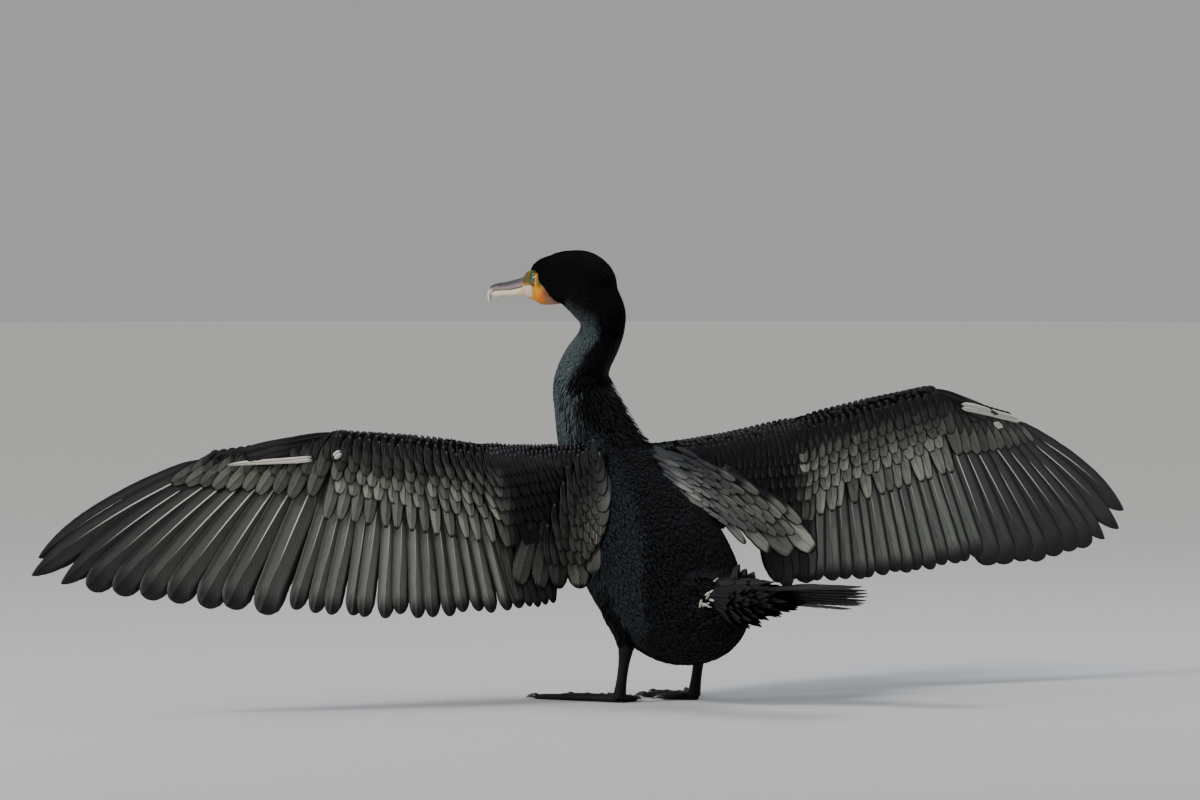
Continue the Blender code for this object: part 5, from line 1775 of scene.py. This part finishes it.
def bill_colours(points, upper):
    distance, offset, z = head_place(points)
    mouth = np.interp(distance, [r[0] for r in BILL_LINE], [r[1] for r in BILL_LINE])
    high = np.interp(distance, [r[0] for r in BILL_LINE], [r[3] for r in BILL_LINE])
    share = np.clip((z - mouth) / high, 0, 1.2)
    if upper:
        colours = np.tile(np.array(linear("#7d7270")), (len(points), 1))
        ridge = 1 / (1 + np.exp(-(share - 0.52) / 0.08))
        colours = layer(colours, ridge, linear("#20242c"))
        groove = np.exp(-((share - 0.5) / 0.07) ** 2) * (distance < 158)
        colours = layer(colours, groove * 0.6, linear("#3b3432"))
        tip = np.clip((distance - 165) / 4, 0, 1) * np.clip((mouth + 4 - z) / 4, 0, 1)
        colours = layer(colours, tip * 0.9, linear("#cfc6b6"))
        lip = np.exp(-((z - mouth) / 0.7) ** 2) * (distance < 165)
        colours = layer(colours, lip * 0.7, linear("#3a3330"))
    else:
        colours = np.tile(np.array(linear("#cfc4ac")), (len(points), 1))
        low = np.clip((mouth - z - 3) / 5, 0, 1)
        colours = layer(colours, low * 0.5, linear("#b09a7a"))
        base = np.clip((124 - distance) / 10, 0, 1)
        colours = layer(colours, base * 0.75, linear("#d9a43a"))
        colours = layer(colours, np.exp(-((mouth - z) / 0.8) ** 2) * 0.7, linear("#4a3f3a"))
        colours = layer(colours, np.clip((distance - 160) / 8, 0, 1) * 0.4, linear("#8d8478"))
    return colours


def build_bill(upper):
    """Make one half of the bill in horn; the upper one carries ridge, groove and hook."""
    across = head_point(0, 1, 0) - head_point(0, 0, 0)
    rings = []
    sign = 1 if upper else -1
    for d, z, w, up, down in smooth_line(BILL_LINE, 12):
        height = up if upper else down
        mouth = z + sign * 0.18
        ring = []
        for angle in np.linspace(0, np.pi, 33):
            rise = height * math.sin(angle) ** 0.8
            wide = w * math.cos(angle)
            if upper:
                groove = math.exp(-((abs(math.cos(angle)) - 0.6) / 0.09) ** 2)
                groove *= np.clip((160 - d) / 8, 0, 1) * np.clip((d - 112) / 3, 0, 1)
                wide *= 1 - 0.09 * groove
                rise *= 1 - 0.05 * groove
            ring.append(head_point(d, 0, mouth + sign * rise) + across * wide)
        rings.append(ring)
    lofts = [rings]
    if upper:
        hook = smooth_line(HOOK_LINE, 6)
        centres = [head_point(row[0], 0, row[1]) for row in hook]
        lofts.append(tube_rings(centres, np.maximum(hook[:, 2], 0.55), 18))
    name = "upper_bill" if upper else "lower_bill"
    material = bpy.data.materials.get("bill_horn") or bill_horn_material()
    item = fused(name, lofts, 0.42, 3, [material])
    set_colours(item, "horn", bill_colours(bird_points(item), upper))
    return place_piece(item, ["bill_upper" if upper else "bill_lower"])


# ---- feet
def toe_direction(side, angle):
    turn = math.radians(angle) + FOOT_TURN
    return np.array([side * math.sin(turn), -math.cos(turn), 0])


def build_foot(side):
    """Make one webbed foot with its claws; its soles lie flat on the floor."""
    name = "left" if side > 0 else "right"
    base = np.array([side * LEG_SPACING, SOLE_Y, 5.0])
    heel = np.array([side * LEG_SPACING, HEEL_Y, HEEL_Z + 6.0])
    along = unit(base - heel)
    span = np.linalg.norm(base - heel)
    shank = smooth_line([(*heel, 6.6), (*(heel + along * 8), 6.9), (*(heel + along * 20), 5.3),
                         (*(heel + along * 38), 4.9), (*base, 6.2)], 6)
    lofts = [tube_rings(shank[:, :3], shank[:, 3], 24, 1.15)]
    lines = [(np.array(shank[:, :3]), 100.0)]
    tips = []
    for toe, angle, length in TOES:
        ahead = toe_direction(side, angle)
        rows = [(0, 5.2, 0), (0.1, 5.0, 0), (0.3, 4.5, 0), (0.36, 5.0, 0.2), (0.42, 4.3, 0),
                (0.6, 4.0, 0), (0.66, 4.5, 0.2), (0.72, 3.8, 0), (0.9, 3.3, 0), (1, 2.6, -0.1)]
        line = smooth_line(rows, 4)
        centres = [base + ahead * (length * t) + np.array([0, 0, -1.6 - 1.3 * t + up])
                   for t, r, up in line]
        lofts.append(tube_rings(centres, line[:, 1], 20, 0.95))
        lines.append((np.array(centres), 0.0))
        tips.append(base + ahead * (length * 0.95))
    outline_points = [base - toe_direction(side, 0) * 6]
    for first, second in zip(tips, tips[1:]):
        outline_points.append(first)
        for share in (0.2, 0.4, 0.6, 0.8):
            dip = 0.16 * math.sin(share * math.pi) ** 0.8
            middle = first + (second - first) * share
            outline_points.append(middle + (base - middle) * dip)
    outline_points.append(tips[-1])
    # The web is a fan of strips from the ankle, sagging a little between the toes
    web = []
    for z in (-0.4, WEB_THICKNESS):
        web.append([np.array([p[0], p[1], z]) for p in outline_points])
    lofts.append(web)
    foot = fused("foot_" + name + "_skin", lofts, 0.8, 3, [foot_skin_material()])
    points = bird_points(foot)
    points[:, 2] = np.maximum(points[:, 2], 0.02)
    run = np.zeros(len(points))
    near = np.full(len(points), 1e9)
    for centres, extra in lines:
        gap = np.linalg.norm(points[:, None] - centres[None], axis=2)
        which = gap.argmin(axis=1)
        lengths = np.concatenate([[0], np.cumsum(np.linalg.norm(np.diff(centres, axis=0), axis=1))])
        closer = gap.min(axis=1) < near
        exact = lengths[which]
        if len(centres) > 1:
            direction = unit(np.gradient(centres, axis=0))[which]
            exact = exact + ((points - centres[which]) * direction).sum(1)
        run = np.where(closer, exact + extra, run)
        near = np.minimum(near, gap.min(axis=1))
    foot.data.vertices.foreach_set("co", to_model(points).astype(np.float32).ravel())
    foot.data.update()
    set_values(foot, "run", run)
    set_values(foot, "web", np.clip((near - 5.2) / 1.2, 0, 1))
    place_piece(foot, ["foot_" + name])
    for toe, angle, length in TOES:
        ahead = toe_direction(side, angle)
        start = base + ahead * (length - 0.8) + np.array([0, 0, -2.8])
        rows = smooth_line([(0, 0.2, 2.9), (0.2, 0.5, 2.6), (0.5, 0.4, 2.0), (0.8, -0.5, 1.1),
                            (1, -1.7, 0.25)], 5)
        centres = [start + ahead * ((CLAW_LENGTH + 0.6) * t) + np.array([0, 0, up + 0.5])
                   for t, up, r in rows]
        rings = tube_rings(centres, rows[:, 2], 18, 1.0)
        points = np.vstack(rings)
        points[:, 2] = np.maximum(points[:, 2], 0.02)
        material = bpy.data.materials.get("claw_horn") or claw_horn_material()
        claw = mesh_from("claw_" + toe + "_" + name + "_horn", points,
                         loft_faces(len(rings), 18), [material])
        set_values(claw, "run", np.repeat(rows[:, 0], 18))
        body = bmesh.new()
        body.from_mesh(claw.data)
        bmesh.ops.recalc_face_normals(body, faces=body.faces[:])
        body.to_mesh(claw.data)
        body.free()
        place_piece(claw, ["claw_" + toe + "_" + name])


# ---- stage
def build_stage(looks):
    """Lay the floor, set the lights and stand the camera at the photograph's angle."""
    scene = bpy.context.scene
    data = bpy.data.meshes.new("floor")
    body = bmesh.new()
    bmesh.ops.create_circle(body, cap_ends=True, segments=96, radius=14)
    body.to_mesh(data)
    body.free()
    floor = bpy.data.objects.new("floor", data)
    scene.collection.objects.link(floor)
    data.materials.append(studio_floor_material(looks))
    world = bpy.data.worlds.new("studio_air")
    world.use_nodes = True
    background = world.node_tree.nodes["Background"]
    background.inputs["Color"].default_value = (*linear("#c9c8c7"), 1)
    background.inputs["Strength"].default_value = looks.air_light
    scene.world = world
    turn, rise = math.radians(30), math.radians(2)
    right = np.array([-math.cos(turn), math.sin(turn), 0])
    ahead = np.array([-math.sin(turn), -math.cos(turn), 0])
    forward = ahead * math.cos(rise) - np.array([0, 0, math.sin(rise)])
    scale = 0.97
    target = right * (600 - 660) * scale + np.array([0, 0, (702 - 400) * scale])
    distance = 9000
    camera_data = bpy.data.cameras.new("camera")
    camera_data.sensor_width = 36
    camera_data.lens = 36 * distance / scale / 1200
    camera_data.clip_end = 100
    camera = bpy.data.objects.new("camera", camera_data)
    scene.collection.objects.link(camera)
    camera.location = to_model(target - forward * distance)
    camera.rotation_euler = Vector(forward).to_track_quat("-Z", "Y").to_euler()
    scene.camera = camera
    lamps = [  # (name, kind, power, size, place to the camera's right, ahead and up, colour)
        ("key_lamp", "SUN", looks.key_strength, 0.22, (-2.2, -1.9, 2.3), "#fff8f0"),
        ("side_lamp", "AREA", 34, 1.2, (-2.4, -0.8, 1.0), "#f2f5ff"),
        ("top_lamp", "AREA", 30, 1.6, (0.8, 0.8, 2.4), "#e6efff"),
    ]
    for name, kind, power, size, (x, y, z), colour in lamps:
        lamp_data = bpy.data.lights.new(name, kind)
        lamp_data.energy = power
        setattr(lamp_data, "angle" if kind == "SUN" else "size", size)
        lamp_data.color = linear(colour)
        lamp = bpy.data.objects.new(name, lamp_data)
        scene.collection.objects.link(lamp)
        place = right * x + ahead * y + np.array([0, 0, z])
        lamp.location = place
        aim = Vector((0, 0, 0.25)) - Vector(place)
        lamp.rotation_euler = aim.to_track_quat("-Z", "Y").to_euler()


# ---- settings, operators and panel
def colour_setting(name, description, code):
    return FloatVectorProperty(name=name, description=description, subtype="COLOR", size=3,
                               min=0, max=1, default=linear(code))


class PlumageSettings(PropertyGroup):
    """Colours of the feathers and how close the coat stands."""

    vane_bronze: colour_setting("Flight feather", "Middle of the flight feathers", "#7b807a")
    vane_black: colour_setting("Dark vane", "Feathers with no bronze", "#08090c")
    vane_edge: colour_setting("Vane edge", "Fringe and tip of the flight feathers", "#121214")
    covert_bronze: colour_setting("Covert", "Middle of the wing coverts", "#8a8e85")
    # Near-white of the shafts: a painted highlight
    shaft_glint: colour_setting("Shaft", "Pale part of the shafts", "#f2efe8")
    body_black: colour_setting("Back", "Small feathers of back and nape", "#030408")
    # Flank and neck colours are the coat's painted sheen
    flank_sheen_grey: colour_setting("Flank", "Small feathers of flanks and belly", "#1b2226")
    neck_sheen_grey: colour_setting("Neck", "Small feathers of throat and neck", "#434e50")
    coat_spacing: FloatProperty(
        name="Coat spacing", description="Distance of the small feathers, in half widths",
        default=0.95, min=0.7, max=2.0)


class HeadSettings(PropertyGroup):
    """Colours of the eye."""

    iris_colour: colour_setting("Iris", "Jewel-green iris", "#0a4a2c")


class StageSettings(PropertyGroup):
    """Floor and lamps."""

    floor_colour: colour_setting("Floor", "Painted floor", "#b9bbbc")
    key_strength: FloatProperty(name="Key lamp", description="Irradiance of the key lamp",
                                default=3.0, min=0)
    air_light: FloatProperty(name="Air light", description="Soft light from all round",
                             default=0.66, min=0)


class CORMORANT_OT_skin(Operator):
    """Fuse the skin and cover it with small feathers"""

    bl_idname = "cormorant.skin"
    bl_label = "Skin and coat"

    def execute(self, context):
        looks = context.scene.cormorant_plumage
        skin = build_skin(looks)
        build_coat(skin, looks)
        return {"FINISHED"}


class CORMORANT_OT_wings(Operator):
    """Build the flight feathers and coverts of both wings"""

    bl_idname = "cormorant.wings"
    bl_label = "Wings"

    def execute(self, context):
        looks = context.scene.cormorant_plumage
        flight = [flight_feather_material(looks), shaft_material(looks)]
        covert = [covert_feather_material(looks), flight[1]]
        surface = BVHTree.FromObject(bpy.data.objects["skin"], context.evaluated_depsgraph_get())
        for number, (name, wing) in enumerate(WINGS.items()):
            plumes = Plumes(40 + number)
            flight_feathers(plumes, wing)
            plumes.make("flight_feathers_" + name, flight,
                        ["wing_hand_" + name, "wing_forearm_" + name])
            plumes = Plumes(50 + number)
            wing_coverts(plumes, wing)
            plumes.make("wing_coverts_" + name, covert)
            plumes = Plumes(60 + number)
            arm_feathers(plumes, wing)
            shoulder_feathers(plumes, wing, SHOULDERS[name], surface)
            plumes.make("scapulars_" + name, covert, ["wing_arm_" + name])
            plumes = Plumes(70 + number)
            under_coverts(plumes, wing)
            plumes.make("under_coverts_" + name, covert)
        return {"FINISHED"}


class CORMORANT_OT_tail(Operator):
    """Build the tail feathers and their coverts"""

    bl_idname = "cormorant.tail"
    bl_label = "Tail"

    def execute(self, context):
        plumes = Plumes(80)
        tail_feathers(plumes)
        materials = [bpy.data.materials["flight_feather_vane"],
                     bpy.data.materials["feather_shaft_keratin"]]
        plumes.make("tail_feathers", materials, ["tail"])
        plumes = Plumes(81)
        tail_coverts(plumes)
        materials = [bpy.data.materials["covert_feather_vane"],
                     bpy.data.materials["feather_shaft_keratin"]]
        plumes.make("tail_coverts", materials)
        return {"FINISHED"}


class CORMORANT_OT_head(Operator):
    """Build the bare face, lids, eyes and bill"""

    bl_idname = "cormorant.head"
    bl_label = "Face, eyes and bill"

    def execute(self, context):
        build_face()
        for side in (1, -1):
            build_eye(side, context.scene.cormorant_head)
        build_bill(True)
        build_bill(False)
        return {"FINISHED"}


class CORMORANT_OT_feet(Operator):
    """Build both feet and their claws"""

    bl_idname = "cormorant.feet"
    bl_label = "Feet"

    def execute(self, context):
        for side in (1, -1):
            build_foot(side)
        return {"FINISHED"}


class CORMORANT_OT_stage(Operator):
    """Lay the floor, set the lights and stand the camera"""

    bl_idname = "cormorant.stage"
    bl_label = "Stage"

    def execute(self, context):
        build_stage(context.scene.cormorant_stage)
        return {"FINISHED"}


OPERATORS = (CORMORANT_OT_skin, CORMORANT_OT_wings, CORMORANT_OT_tail, CORMORANT_OT_head,
             CORMORANT_OT_feet, CORMORANT_OT_stage)
SETTINGS = {"cormorant_plumage": PlumageSettings, "cormorant_head": HeadSettings,
            "cormorant_stage": StageSettings}


class CORMORANT_PT_panel(Panel):
    """Lists the settings and the pieces"""

    bl_label = "Cormorant"
    bl_space_type = "VIEW_3D"
    bl_region_type = "UI"
    bl_category = "Cormorant"

    def draw(self, context):
        for name in SETTINGS:
            group = getattr(context.scene, name)
            box = self.layout.box()
            for key in group.__annotations__:
                box.prop(group, key)
        for operator in OPERATORS:
            self.layout.operator(operator.bl_idname)


def register():
    for group in (*SETTINGS.values(), *OPERATORS, CORMORANT_PT_panel):
        bpy.utils.register_class(group)
    for name, group in SETTINGS.items():
        setattr(bpy.types.Scene, name, PointerProperty(type=group))


def unregister():
    for name in SETTINGS:
        delattr(bpy.types.Scene, name)
    for group in reversed((*SETTINGS.values(), *OPERATORS, CORMORANT_PT_panel)):
        bpy.utils.unregister_class(group)


def main():
    register()
    for operator in OPERATORS:
        group, name = operator.bl_idname.split(".")
        getattr(getattr(bpy.ops, group), name)()


if __name__ == "__main__":
    main()
